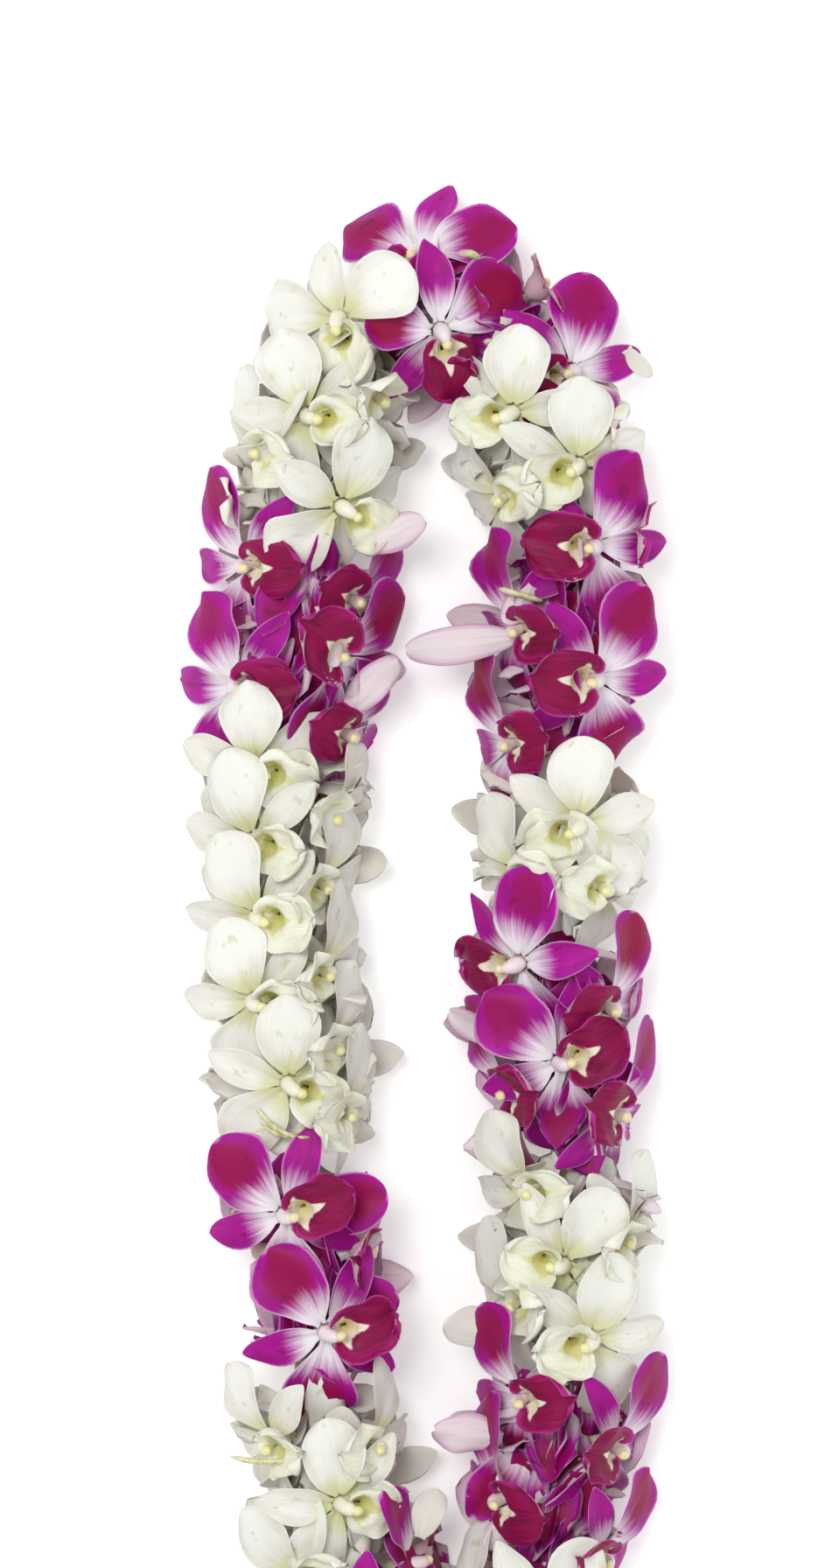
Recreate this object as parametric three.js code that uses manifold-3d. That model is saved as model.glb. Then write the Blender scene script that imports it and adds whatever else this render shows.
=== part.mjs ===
// A fresh orchid lei: a closed garland of dendrobium blooms threaded on a knotted string, lying on a table.
// Units are millimetres. +X is to the right, +Y is towards the top of the loop and +Z is up from the table.
import * as THREE from "three";
import { mergeVertices } from "three/addons/utils/BufferGeometryUtils.js";
import Module from "manifold-3d";

const wasm = await Module();
wasm.setup();

// ---- driving dimensions ----

// The string's line seen from above: from the top of the loop, down the left side and up the right side.
const stringLine = [
  [2, 211], [-16, 206], [-29, 189], [-35, 157], [-40, 112], [-43, 68], [-46, 29],
  [-45, -4], [-41, -41], [-39, -82], [-36, -124], [-31, -160], [-22, -193], [-8, -217],
  [9, -225], [25, -217], [36, -193], [43, -160], [45, -124], [47, -82], [45, -41],
  [42, 1], [44, 43], [46, 84], [45, 126], [40, 159], [32, 189], [19, 205],
];
const stringHeight = 23; // of the string above the table
const stringRadius = 0.8;
const stringSides = 4;
const boreRadius = 1.3; // the pierced hole that the string runs through
const coreRadius = 5.6; // the pressed stems and ovaries of a bunch, round the string
const coreSides = 6;
const coreStep = 26; // longest straight stretch of a core
const bunchGap = 0.4; // between the cores of two bunches
const bloomReach = 17; // from the string to the middle of a bloom's face
const shingle = 18; // degrees by which each bloom lies over its neighbour nearer the top of the loop
const bladeThickness = 1.3; // of a petal along its middle
const clearance = 1; // kept round a bunch where another one would cross it
const edgeRoom = 3; // times as much clearance at a blade's edges
const stubLength = 5; // of a wrap's stub behind a lone blade
const pressDepth = 5; // height under which the table flattens petals
const tableLevel = 2; // the lowest petals are trimmed flat at this height of the construction
const tableSize = [400, 700, 60];
const knot = {
  at: 1420, // along the string, where the bottom purple bunch ends
  room: 6, // radius of the space that is kept free round it
  coreGap: 3.6, // from its middle to the core on each side
  turnRadius: 1.5, turnThickness: 1.1, turnSides: 5, turnSteps: 7,
  tailRadius: 0.6, tailLength: 5, tailSides: 5, tailOverlap: 0.1, tailLean: -0.7,
  stringTrim: 0.3, // of both ends of the string, inside it
};

const degrees = Math.PI / 180;

// ---- the blooms ----

// The organs of a bloom, by their direction round its face. Each has its length and width, the rise of its midline
// at the base and at the tip, the curl of its section, where it is broadest, how blunt it is, and the rows of
// points that make its solid. It is shown by the blooms that stand between two angles round the string. One that is
// behind lies under the others, and a cupped one keeps a hollow front.
const everywhere = [-360, 360];
const outOfTheCrush = [-41, 82];
const abovePressed = [-95, 95];
const face = (petal, dorsal, lateral, lip) => [
  { azimuth: 20, shown: everywhere, ...petal },
  { azimuth: 90, shown: everywhere, behind: true, ...dorsal },
  { azimuth: 160, shown: everywhere, ...petal },
  { azimuth: 222, shown: outOfTheCrush, behind: true, ...lateral },
  { azimuth: 270, shown: abovePressed, cupped: true, ...lip },
  { azimuth: 318, shown: outOfTheCrush, behind: true, ...lateral },
];
const species = {
  purple: {
    colour: 0xa3127f,
    roughness: 0.55,
    organs: face(
      { length: 31, width: 25, rise: [16, -26], curl: 0.1, broadest: 0.6, blunt: 0.55, rows: [0.4, 0.78] },
      { length: 27, width: 13, rise: [14, -34], curl: 0.1, broadest: 0.45, blunt: 0.8, rows: [0.46] },
      { length: 27, width: 12, rise: [-6, -30], curl: 0.1, broadest: 0.45, blunt: 0.8, rows: [0.46] },
      { length: 22, width: 20, rise: [62, -8], curl: 1.3, broadest: 0.55, blunt: 0.6, rows: [0.6] },
    ),
  },
  white: {
    colour: 0xe9e8dc,
    roughness: 0.6,
    organs: face(
      { length: 27, width: 22, rise: [18, -28], curl: 0.1, broadest: 0.6, blunt: 0.55, rows: [0.4, 0.78] },
      { length: 25, width: 13, rise: [16, -38], curl: 0.1, broadest: 0.48, blunt: 0.7, rows: [0.46] },
      { length: 25, width: 12, rise: [-6, -30], curl: 0.1, broadest: 0.48, blunt: 0.7, rows: [0.46] },
      { length: 19, width: 18, rise: [66, 5], curl: 1.4, broadest: 0.58, blunt: 0.5, rows: [0.6] },
    ),
  },
};
const baseRadius = 2.6; // where the organs spring from, round the bloom's middle
const baseWidth = 4.4;
const columnHeight = 7; // the pale column at the middle of the face
const ovaryEnd = 3.4; // distance from the string at which a bloom's ovary ends, inside the core

// ---- the arrangement ----

// Each bunch: its colour, where it starts on the string, and its blooms as [distance along the string, angle round
// the string, lean of the face, roll of the face], in mm and degrees. Angle 0 faces up and 90 faces away from the
// loop's hole. Blooms on the underside follow a rule instead.
const bunches = [
  { name: "purple_bunch_top", colour: "purple", from: 894, blooms: [
    [899, 60, 25, -6], [937, -30, -12, 24], [944, 85, 30, -16], [917, -80, -70, 180], [920, 95, 95, 8],
  ] },
  { name: "white_bunch_left_1", colour: "white", from: 959, blooms: [
    [968, 22, 14, -30], [997, 12, 8, 0], [1024, -37, -30, -15], [984, -66, -60, 180], [1009, 66, 56, -8],
    [1028, 100, 100, 10],
  ] },
  { name: "purple_bunch_left_1", colour: "purple", from: 1034, blooms: [
    [1045, 80, 45, 4], [1083, 68, 34, 2], [1053, -72, -60, 172], [1072, -48, -58, 160],
    [1096, -84, -66, 180],
  ] },
  { name: "white_bunch_left_2", colour: "white", from: 1100, blooms: [
    [1109, 34, 12, -12], [1132, 30, 22, 0], [1155, 19, 16, 4], [1122, -52, -62, 176], [1144, -50, -62, 186],
  ] },
  { name: "white_bunch_left_3", colour: "white", from: 1166, blooms: [
    [1181, 28, 20, -4], [1208, 2, 0, -28], [1173, -48, -60, 184], [1198, -52, -62, 180],
    [1218, -60, -64, 190],
  ] },
  { name: "purple_bunch_left_2", colour: "purple", from: 1232, blooms: [
    [1249, 13, 6, 13], [1287, -22, -12, 15], [1262, -86, -80, 180], [1286, -88, -80, 172],
  ] },
  { name: "white_bunch_left_4", colour: "white", from: 1304, blooms: [
    [1320, 60, 52, 0], [1342, -12, -8, -12], [1361, 50, 38, 8], [1326, -62, -62, 180],
  ] },
  { name: "purple_bunch_bottom", colour: "purple", from: 1367, blooms: [
    [1384, 18, 20, 8], [1409, 34, 30, -6], [1371, -80, -76, 6], [1396, -54, -60, 180],
  ] },
  { name: "white_bunch_bottom", colour: "white", from: 1420, blooms: [
    [1431, 22, 24, 0], [1452, 12, 16, 6], [1442, -56, -60, 180],
  ] },
  { name: "purple_bunch_right_3", colour: "purple", from: 1460, blooms: [
    [1472, 76, 62, -8], [1504, 68, 60, 0], [1484, -62, -60, 180], [1519, -46, -54, 180],
  ] },
  { name: "white_bunch_right_3", colour: "white", from: 1530, blooms: [
    [1539, 24, 18, 8], [1562, -10, 2, -14], [1586, -50, -50, 180], [1570, 62, 60, 0], [1548, -64, -56, 180],
  ] },
  { name: "purple_bunch_right_2", colour: "purple", from: 1595, blooms: [
    [1608, 57, 66, -12], [1642, 60, 62, 2], [1626, -2, -6, 196], [1657, -40, -34, 2], [1618, -72, -62, 180],
  ] },
  { name: "white_bunch_right_2", colour: "white", from: 1671, blooms: [
    [1701, 16, 8, 22], [1682, 52, 50, 0], [1684, -44, -50, 180],
  ] },
  { name: "purple_bunch_right_1", colour: "purple", from: 1722, blooms: [
    [1747, 27, 20, 0], [1788, 31, 20, -10], [1726, -76, -62, 180], [1764, -56, -58, 172],
    [1792, 100, 102, 4],
  ] },
  { name: "white_bunch_right_1", colour: "white", from: 1797, blooms: [
    [1813, 29, 14, 10], [1834, -28, -24, -12], [1808, -62, -58, 180], [1822, 98, 98, 0],
  ] },
];
const undersideSpacing = 53; // of the blooms on each of the two underside rows
// Their angles swing to and fro, and each stands at the same share of its own space.
const undersideRows = [
  { angle: 114, lean: 142, swing: 18, share: 0.425 }, // away from the loop's hole
  { angle: -140, lean: -168, swing: 10, share: 0.575 }, // towards the hole
];

// How far blooms and their organs differ to both sides: angles in degrees, sizes as shares.
const spread = {
  azimuth: 4, length: 0.05, width: 0.06, rise: [3, 8], lean: 5, reach: 0.05, roll: 6, undersideTurn: 4,
  undersideRoll: 5,
};

// A fixed number from -1 to 1 for each bloom and channel, so that every bloom differs a little.
function vary(bloom, channel) {
  const x = Math.sin(bloom * 12.9898 + channel * 78.233) * 43758.5453;
  return 2 * (x - Math.floor(x)) - 1;
}

// ---- the string's line ----

const curve = new THREE.CatmullRomCurve3(
  stringLine.map(([x, y]) => new THREE.Vector3(x, y, stringHeight)), true, "catmullrom", 0.5);
curve.arcLengthDivisions = 800;
const loopLength = curve.getLength();
const up = new THREE.Vector3(0, 0, 1);

// The string's place at a distance along it, with the directions along it and away from the loop's hole.
function station(distance) {
  const share = (((distance / loopLength) % 1) + 1) % 1;
  const along = curve.getTangentAt(share);
  return { at: curve.getPointAt(share), along, outward: along.clone().cross(up).normalize() };
}

// ---- solids ----

function solidOf(geometry) {
  const bare = new THREE.BufferGeometry();
  bare.setAttribute("position", geometry.getAttribute("position"));
  bare.setIndex(geometry.getIndex());
  const merged = mergeVertices(bare, 1e-4);
  return new wasm.Manifold(new wasm.Mesh({
    numProp: 3,
    vertProperties: new Float32Array(merged.getAttribute("position").array),
    triVerts: new Uint32Array(merged.getIndex().array),
  }));
}

function solidOfPoints(points, triangles) {
  const geometry = new THREE.BufferGeometry().setFromPoints(points);
  geometry.setIndex(triangles.flat());
  return solidOf(geometry);
}

function geometryOf(solid) {
  const mesh = solid.getMesh();
  const positions = new Float32Array(mesh.numVert * 3);
  for (let i = 0; i < mesh.numVert; i++)
    positions.set(mesh.vertProperties.subarray(i * mesh.numProp, i * mesh.numProp + 3), i * 3);
  const geometry = new THREE.BufferGeometry();
  geometry.setAttribute("position", new THREE.BufferAttribute(positions, 3));
  geometry.setIndex(new THREE.BufferAttribute(new Uint32Array(mesh.triVerts), 1));
  geometry.computeVertexNormals();
  return geometry;
}

// A tube with flat ends through the given stations.
function tube(stations, radius, sides) {
  const points = [];
  const triangles = [];
  for (const { at, outward } of stations)
    for (let k = 0; k < sides; k++) {
      const turn = (2 * Math.PI * k) / sides;
      points.push(at.clone()
        .addScaledVector(outward, radius * Math.cos(turn))
        .addScaledVector(up, radius * Math.sin(turn)));
    }
  const last = (stations.length - 1) * sides;
  for (let k = 0; k < sides; k++) {
    const next = (k + 1) % sides;
    for (let row = 0; row < last; row += sides) {
      triangles.push([row + k, row + sides + k, row + sides + next]);
      triangles.push([row + k, row + sides + next, row + next]);
    }
    if (k > 0 && k < sides - 1) {
      triangles.push([0, k, next]);
      triangles.push([last, last + next, last + k]);
    }
  }
  return solidOfPoints(points, triangles);
}

// ---- one bloom ----

// The width of an organ at a share of its length, as a share of its full width.
function widthShare(organ, t) {
  const power = Math.log(0.5) / Math.log(organ.broadest);
  return Math.pow(Math.max(Math.sin(Math.PI * Math.pow(t, power)), 0), organ.blunt);
}

// A point of an organ in the bloom's own frame: t along it, v across it from -1 to 1, and off its middle surface.
// With room, its edges lie further out, so that a thin blade is still wrapped at its sharp edges.
function organPoint(organ, t, v, off, room = 0) {
  const azimuth = organ.azimuth * degrees;
  const [first, last] = organ.rise.map((angle) => angle * degrees);
  const rise = first + (last - first) * t;
  const radial = baseRadius + (organ.length * (Math.sin(rise) - Math.sin(first))) / (last - first);
  const height = (organ.length * (Math.cos(first) - Math.cos(rise))) / (last - first);
  const half = 0.5 * Math.max(organ.width * widthShare(organ, t), baseWidth * (1 - t) * (1 - t)) + edgeRoom * room;
  const across = (half * Math.sin(organ.curl * v)) / organ.curl;
  const lift = (half * (1 - Math.cos(organ.curl * v))) / organ.curl + off;
  const out = radial - lift * Math.sin(rise);
  return new THREE.Vector3(
    out * Math.cos(azimuth) - across * Math.sin(azimuth),
    out * Math.sin(azimuth) + across * Math.cos(azimuth),
    height + lift * Math.cos(rise),
  );
}

// The bloom's own organs, each a little different from its neighbours'. A bloom that is pressed in between the
// string and the others shows fewer of them.
function organsOf(kind, angle, index) {
  const kept = species[kind].organs.filter(({ shown: [least, most] }) => least < angle && angle < most);
  return kept.map((organ, k) => ({
    ...organ,
    azimuth: organ.azimuth + spread.azimuth * vary(index, 10 + k),
    length: organ.length * (1 + spread.length * vary(index, 20 + k)),
    width: organ.width * (1 + spread.width * vary(index, 30 + k)),
    rise: organ.rise.map((angle, end) => angle + spread.rise[end] * vary(index, 40 + 10 * end + k)),
  }));
}

// The bloom's frame: X along the string, Y to the dorsal sepal, Z out of the face.
function bloomFrame([distance, angle, lean, roll], index) {
  const { at, outward } = station(distance);
  const side = angle * degrees;
  const tilt = (lean + spread.lean * vary(index, 1)) * degrees;
  const reach = bloomReach * (1 + spread.reach * vary(index, 2));
  const middle = at.clone()
    .addScaledVector(outward, reach * Math.sin(side))
    .addScaledVector(up, reach * Math.cos(side));
  const normal = outward.clone().multiplyScalar(Math.sin(tilt)).addScaledVector(up, Math.cos(tilt));
  const dorsal = outward.clone().multiplyScalar(Math.cos(tilt)).addScaledVector(up, -Math.sin(tilt));
  const sideways = dorsal.clone().cross(normal);
  const onLeft = ((distance / loopLength) % 1) < 0.5;
  const turn = (roll + spread.roll * vary(index, 3)) * degrees;
  return new THREE.Matrix4().makeBasis(sideways, dorsal, normal).setPosition(middle)
    .multiply(new THREE.Matrix4().makeRotationY((onLeft ? -shingle : shingle) * degrees))
    .multiply(new THREE.Matrix4().makeRotationZ(turn));
}

// Under the press depth, heights are squeezed smoothly so that nothing reaches below the table.
function pressed(height) {
  return height > pressDepth ? height : pressDepth * Math.exp(height / pressDepth - 1);
}

// The two triangles between an edge a, b of one ring and the same edge of the next, split along the diagonal that
// stands further out from the blade's middle.
function stitch(points, [a, b], [nextA, nextB], middle) {
  const sum = (p, q) => points[p].clone().add(points[q]);
  const first = sum(a, nextB);
  const second = sum(b, nextA);
  const outwards = first.clone().add(second).multiplyScalar(0.25).sub(middle);
  if (first.sub(second).dot(outwards) > 0) return [[a, nextA, nextB], [a, nextB, b]];
  return [[a, nextA, b], [nextA, nextB, b]];
}

// One bloom as a closed solid: thin blades round a hub, the column in front and the ovary behind. A blade's rings
// have a right edge, a left edge and a ridge behind. A cupped one has a line in front too, as all have with room.
function bloomSolid(place, index, organs, room = 0) {
  const frame = bloomFrame(place, index);
  const points = [];
  const triangles = [];
  // A point's middle surface is pressed to the table, and the thickness is laid on it afterwards.
  const add = (middle, off = middle) => {
    const world = middle.clone().applyMatrix4(frame);
    const offset = off.clone().applyMatrix4(frame).sub(world);
    world.z = pressed(world.z);
    return points.push(world.add(offset)) - 1;
  };
  const vertex = (organ, t, v, off) => add(organPoint(organ, t, v, 0, room), organPoint(organ, t, v, off, room));
  const ridges = (organ, t) => [
    organ.cupped || room > 0 ? [vertex(organ, t, 0, room)] : [],
    [vertex(organ, t, 0, -bladeThickness - room)],
  ];

  const front = add(new THREE.Vector3(0, 1, columnHeight + room));
  const origin = station(place[0]).at;
  const towardsFace = new THREE.Vector3().setFromMatrixPosition(frame).sub(origin).normalize();
  const back = points.push(origin.addScaledVector(towardsFace, ovaryEnd)) - 1;
  const corners = organs.map((organ, k) => {
    const before = organs[(k + organs.length - 1) % organs.length].azimuth - (k === 0 ? 360 : 0);
    const between = ((before + organ.azimuth) / 2) * degrees;
    const corner = new THREE.Vector3(Math.cos(between), Math.sin(between), 0);
    return add(corner.multiplyScalar(baseRadius + edgeRoom * room));
  });

  organs.forEach((organ, k) => {
    const [frontRidge, backRidge] = ridges(organ, 0);
    let ring = [corners[k], ...frontRidge, corners[(k + 1) % organs.length], ...backRidge];
    const sides = ring.map((_, i) => [i, (i + 1) % ring.length]);
    sides.forEach(([i, j]) => triangles.push([i < ring.length - 2 ? front : back, ring[i], ring[j]]));
    for (const t of organ.rows) {
      const [nextFront, nextBack] = ridges(organ, t);
      const next = [vertex(organ, t, -1, 0), ...nextFront, vertex(organ, t, 1, 0), ...nextBack];
      const all = [...ring, ...next];
      const middle = all.reduce((sum, p) => sum.add(points[p]), new THREE.Vector3()).divideScalar(all.length);
      for (const [i, j] of sides) triangles.push(...stitch(points, [ring[i], ring[j]], [next[i], next[j]], middle));
      ring = next;
    }
    // The tip lies further out too, in line with the ring before it.
    const end = organPoint(organ, 1, 0, 0);
    const before = organPoint(organ, organ.rows.at(-1), 0, 0);
    const tip = add(end.clone().addScaledVector(end.clone().sub(before).normalize(), edgeRoom * room));
    for (const [i, j] of sides) triangles.push([ring[i], tip, ring[j]]);
  });
  return solidOfPoints(points, triangles);
}

// ---- the bunches ----

bunches.forEach((bunch, k) => {
  const following = bunches[k + 1];
  bunch.to = following ? following.from : bunches[0].from + loopLength;
  bunch.number = k;
});

// Blooms on the underside: evenly spaced rows that face away from the string and the ones above.
function undersideBlooms(bunch) {
  return undersideRows.flatMap(({ angle, lean, swing, share }, row) => {
    const count = Math.max(1, Math.round((bunch.to - bunch.from) / undersideSpacing));
    return Array.from({ length: count }, (_, k) => {
      const distance = bunch.from + ((k + share) / count) * (bunch.to - bunch.from);
      const seed = bunch.number * 7 + k;
      const turn = (k % 2 ? swing : -swing) + spread.undersideTurn * vary(seed, 60 + row);
      return [distance, angle + turn, lean + turn, spread.undersideRoll * vary(seed, 70 + row)];
    });
  });
}

// The string's straight stretches: its corners are shared by the string, the hole and the cores.
function knotsOf(bunch) {
  const count = Math.round((bunch.to - bunch.from) / coreStep);
  return Array.from({ length: count + 1 }, (_, k) => station(bunch.from + ((bunch.to - bunch.from) * k) / count));
}

// A bunch's stretch of stations, carried on through the bunches before and after it.
function knotsThrough(bunch) {
  const before = bunches.at(bunch.number - 1);
  const after = bunches[(bunch.number + 1) % bunches.length];
  return [...before.knots.slice(0, -1), ...bunch.knots, ...after.knots.slice(1)];
}

// A stretch of stations, with each end moved along its own straight stretch.
function trimmed(knots, startTrim, endTrim) {
  const moved = (end, towards, by) => ({
    ...end,
    at: end.at.clone().addScaledVector(towards.at.clone().sub(end.at).normalize(), by),
  });
  const ends = [moved(knots[0], knots[1], startTrim), moved(knots.at(-1), knots.at(-2), endTrim)];
  return [ends[0], ...knots.slice(1, -1), ends[1]];
}

function unionOf(solids) {
  return wasm.Manifold.union(solids);
}

// The largest body of a solid, without loose scraps and sealed hollows.
function mainBody(solid) {
  const bodies = solid.decompose().sort((a, b) => b.volume() - a.volume());
  return bodies[0];
}

let bloomCount = 0;
for (const bunch of bunches) {
  bunch.knots = knotsOf(bunch);
  bunch.placed = [...bunch.blooms, ...undersideBlooms(bunch)].map((place) => ({ place, index: bloomCount++ }));
}

const knotStation = station(knot.at);
const table = solidOf(new THREE.BoxGeometry(...tableSize).translate(0, 0, tableLevel - tableSize[2] / 2));
const knotHollow = solidOf(new THREE.IcosahedronGeometry(knot.room, 1).translate(...knotStation.at.toArray()));

function bunchSolid(bunch) {
  const ends = [bunch.from, bunch.to].map((distance) => (distance === knot.at ? knot.coreGap : bunchGap / 2));
  const core = tube(trimmed(bunch.knots, ...ends), coreRadius, coreSides);
  const blooms = bunch.placed.map(({ place, index }) =>
    bloomSolid(place, index, organsOf(bunch.colour, place[1], index)));
  return unionOf([core, ...blooms]);
}

// A bloom's organs in two layers that don't cross each other when they are wrapped. A lone organ gets a stub on its
// far side, which closes the hub.
function layersOf(organs) {
  const layers = [organs.filter(({ behind }) => !behind), organs.filter(({ behind }) => behind)];
  return layers.map((layer) => {
    if (layer.length > 1) return layer;
    const [lone] = layer;
    return [lone, { ...lone, azimuth: lone.azimuth + 180, length: stubLength }];
  });
}

// The space that a bunch keeps for itself: its own solid, thicker all round.
function bunchRoom(bunch, solid) {
  const core = tube(trimmed(bunch.knots, bunchGap / 2, bunchGap / 2), coreRadius + clearance, coreSides);
  const wraps = bunch.placed.flatMap(({ place, index }) =>
    layersOf(organsOf(bunch.colour, place[1], index)).map((layer) => bloomSolid(place, index, layer, clearance)));
  return unionOf([solid, core, ...wraps]);
}

// Purple blooms lie over white ones: a later bunch is cut back wherever it would cross an earlier one.
const order = [...bunches].sort((a, b) => a.colour.localeCompare(b.colour));
const finished = [];
for (const bunch of order) {
  let solid = bunchSolid(bunch);
  for (const earlier of finished) solid = solid.subtract(earlier.room);
  const hole = tube(knotsThrough(bunch), boreRadius, stringSides);
  solid = mainBody(solid.subtract(hole).subtract(table).subtract(knotHollow));
  finished.push({ bunch, solid, room: bunchRoom(bunch, solid) });
}

// ---- the string and its knot ----

function stringSolid() {
  const knots = bunches.flatMap((bunch) => bunch.knots.slice(0, -1));
  const start = knots.findIndex(({ at }) => at.distanceTo(knotStation.at) < 0.1);
  const round = [...knots.slice(start), ...knots.slice(0, start), knots[start]];
  const line = tube(trimmed(round, knot.stringTrim, knot.stringTrim), stringRadius, stringSides);
  const { at, along, outward } = knotStation;
  const turn = new THREE.TorusGeometry(knot.turnRadius, knot.turnThickness, knot.turnSides, knot.turnSteps);
  turn.applyMatrix4(new THREE.Matrix4().makeBasis(up, outward, along).setPosition(at));
  const tails = [-1, 1].map((side) => {
    const end = new THREE.CylinderGeometry(knot.tailRadius, knot.tailRadius, knot.tailLength, knot.tailSides);
    end.translate(0, knot.tailLength / 2 - knot.tailOverlap, 0);
    const direction = up.clone().multiplyScalar(side).addScaledVector(outward, knot.tailLean).normalize();
    end.applyQuaternion(new THREE.Quaternion().setFromUnitVectors(new THREE.Vector3(0, 1, 0), direction));
    return solidOf(end.translate(...at.toArray()));
  });
  return unionOf([line, solidOf(turn), ...tails]);
}

// ---- the group ----

const lei = new THREE.Group();
const material = (kind) => new THREE.MeshStandardMaterial(
  { color: species[kind].colour, roughness: species[kind].roughness, metalness: 0 });
for (const { bunch, solid } of finished) {
  const mesh = new THREE.Mesh(geometryOf(solid), material(bunch.colour));
  mesh.name = bunch.name;
  lei.add(mesh);
}
const string = new THREE.Mesh(
  geometryOf(mainBody(stringSolid())),
  new THREE.MeshStandardMaterial({ color: 0xe8e2d0, roughness: 0.9, metalness: 0 }));
string.name = "string";
lei.add(string);

// The origin is the middle of the footprint, on the table.
const box = new THREE.Box3().setFromObject(lei);
const centre = box.getCenter(new THREE.Vector3());
lei.position.set(-centre.x, -centre.y, -box.min.z);

export default lei;
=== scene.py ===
import bisect
import math

import bpy
from mathutils import Matrix, Vector


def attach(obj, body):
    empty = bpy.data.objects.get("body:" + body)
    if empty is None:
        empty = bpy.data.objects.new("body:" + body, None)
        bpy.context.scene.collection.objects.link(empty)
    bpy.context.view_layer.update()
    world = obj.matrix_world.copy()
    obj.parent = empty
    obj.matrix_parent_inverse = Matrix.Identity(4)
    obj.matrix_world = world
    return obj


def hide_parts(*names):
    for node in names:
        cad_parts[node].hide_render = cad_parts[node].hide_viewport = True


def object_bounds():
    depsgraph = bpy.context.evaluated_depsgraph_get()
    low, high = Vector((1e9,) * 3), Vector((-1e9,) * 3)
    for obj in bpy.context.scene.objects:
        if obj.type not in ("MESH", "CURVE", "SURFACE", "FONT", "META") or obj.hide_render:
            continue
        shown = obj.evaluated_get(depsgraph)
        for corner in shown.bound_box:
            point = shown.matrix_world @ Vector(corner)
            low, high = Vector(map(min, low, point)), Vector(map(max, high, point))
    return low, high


# A fresh orchid lei: dendrobium blooms in purple and white bunches, threaded on a knotted cotton string.
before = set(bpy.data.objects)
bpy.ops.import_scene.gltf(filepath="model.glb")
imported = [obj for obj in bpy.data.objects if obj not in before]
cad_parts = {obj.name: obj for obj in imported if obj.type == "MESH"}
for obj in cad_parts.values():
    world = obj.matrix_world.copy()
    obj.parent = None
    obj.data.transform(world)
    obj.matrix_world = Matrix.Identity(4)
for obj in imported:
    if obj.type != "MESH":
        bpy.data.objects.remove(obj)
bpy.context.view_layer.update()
mm = 0.001

# The string's line, in mm, and how blooms sit on it, as in the part's own source.
lei = {
    "stringLine": (
        (2, 211), (-16, 206), (-29, 189), (-35, 157), (-40, 112), (-43, 68), (-46, 29),
        (-45, -4), (-41, -41), (-39, -82), (-36, -124), (-31, -160), (-22, -193), (-8, -217),
        (9, -225), (25, -217), (36, -193), (43, -160), (45, -124), (47, -82), (45, -41),
        (42, 1), (44, 43), (46, 84), (45, 126), (40, 159), (32, 189), (19, 205),
    ),
    "stringHeight": 23,
    "lineSteps": 800,  # straight bits in which the line is measured
    "directionStep": 1e-4,  # of the line, to either side of a place
    "linePitch": 5,  # between the points of a line through the bunches
    "bloomReach": 17,  # from the string to the middle of a bloom's face
    "ovaryEnd": 3.4,  # from the string, inside the core
    "shingle": 18,  # each bloom lies over its neighbour nearer the top of the loop
    "bunchGap": 0.4,
    "knotAt": 1420,
    "knotRoom": 6,
    "origin": (-0.9772, 0.4806, -2.0),  # brings the line over the middle of the lei's box, on the table
    "undersideSpacing": 53,
    "undersideSeeds": 7,  # from one bunch to the next
    # angle, lean, swing to either side, and place in a bloom's own space
    "undersideRows": ((114, 142, 18, 0.425), (-140, -168, 10, 0.575)),
}

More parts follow.
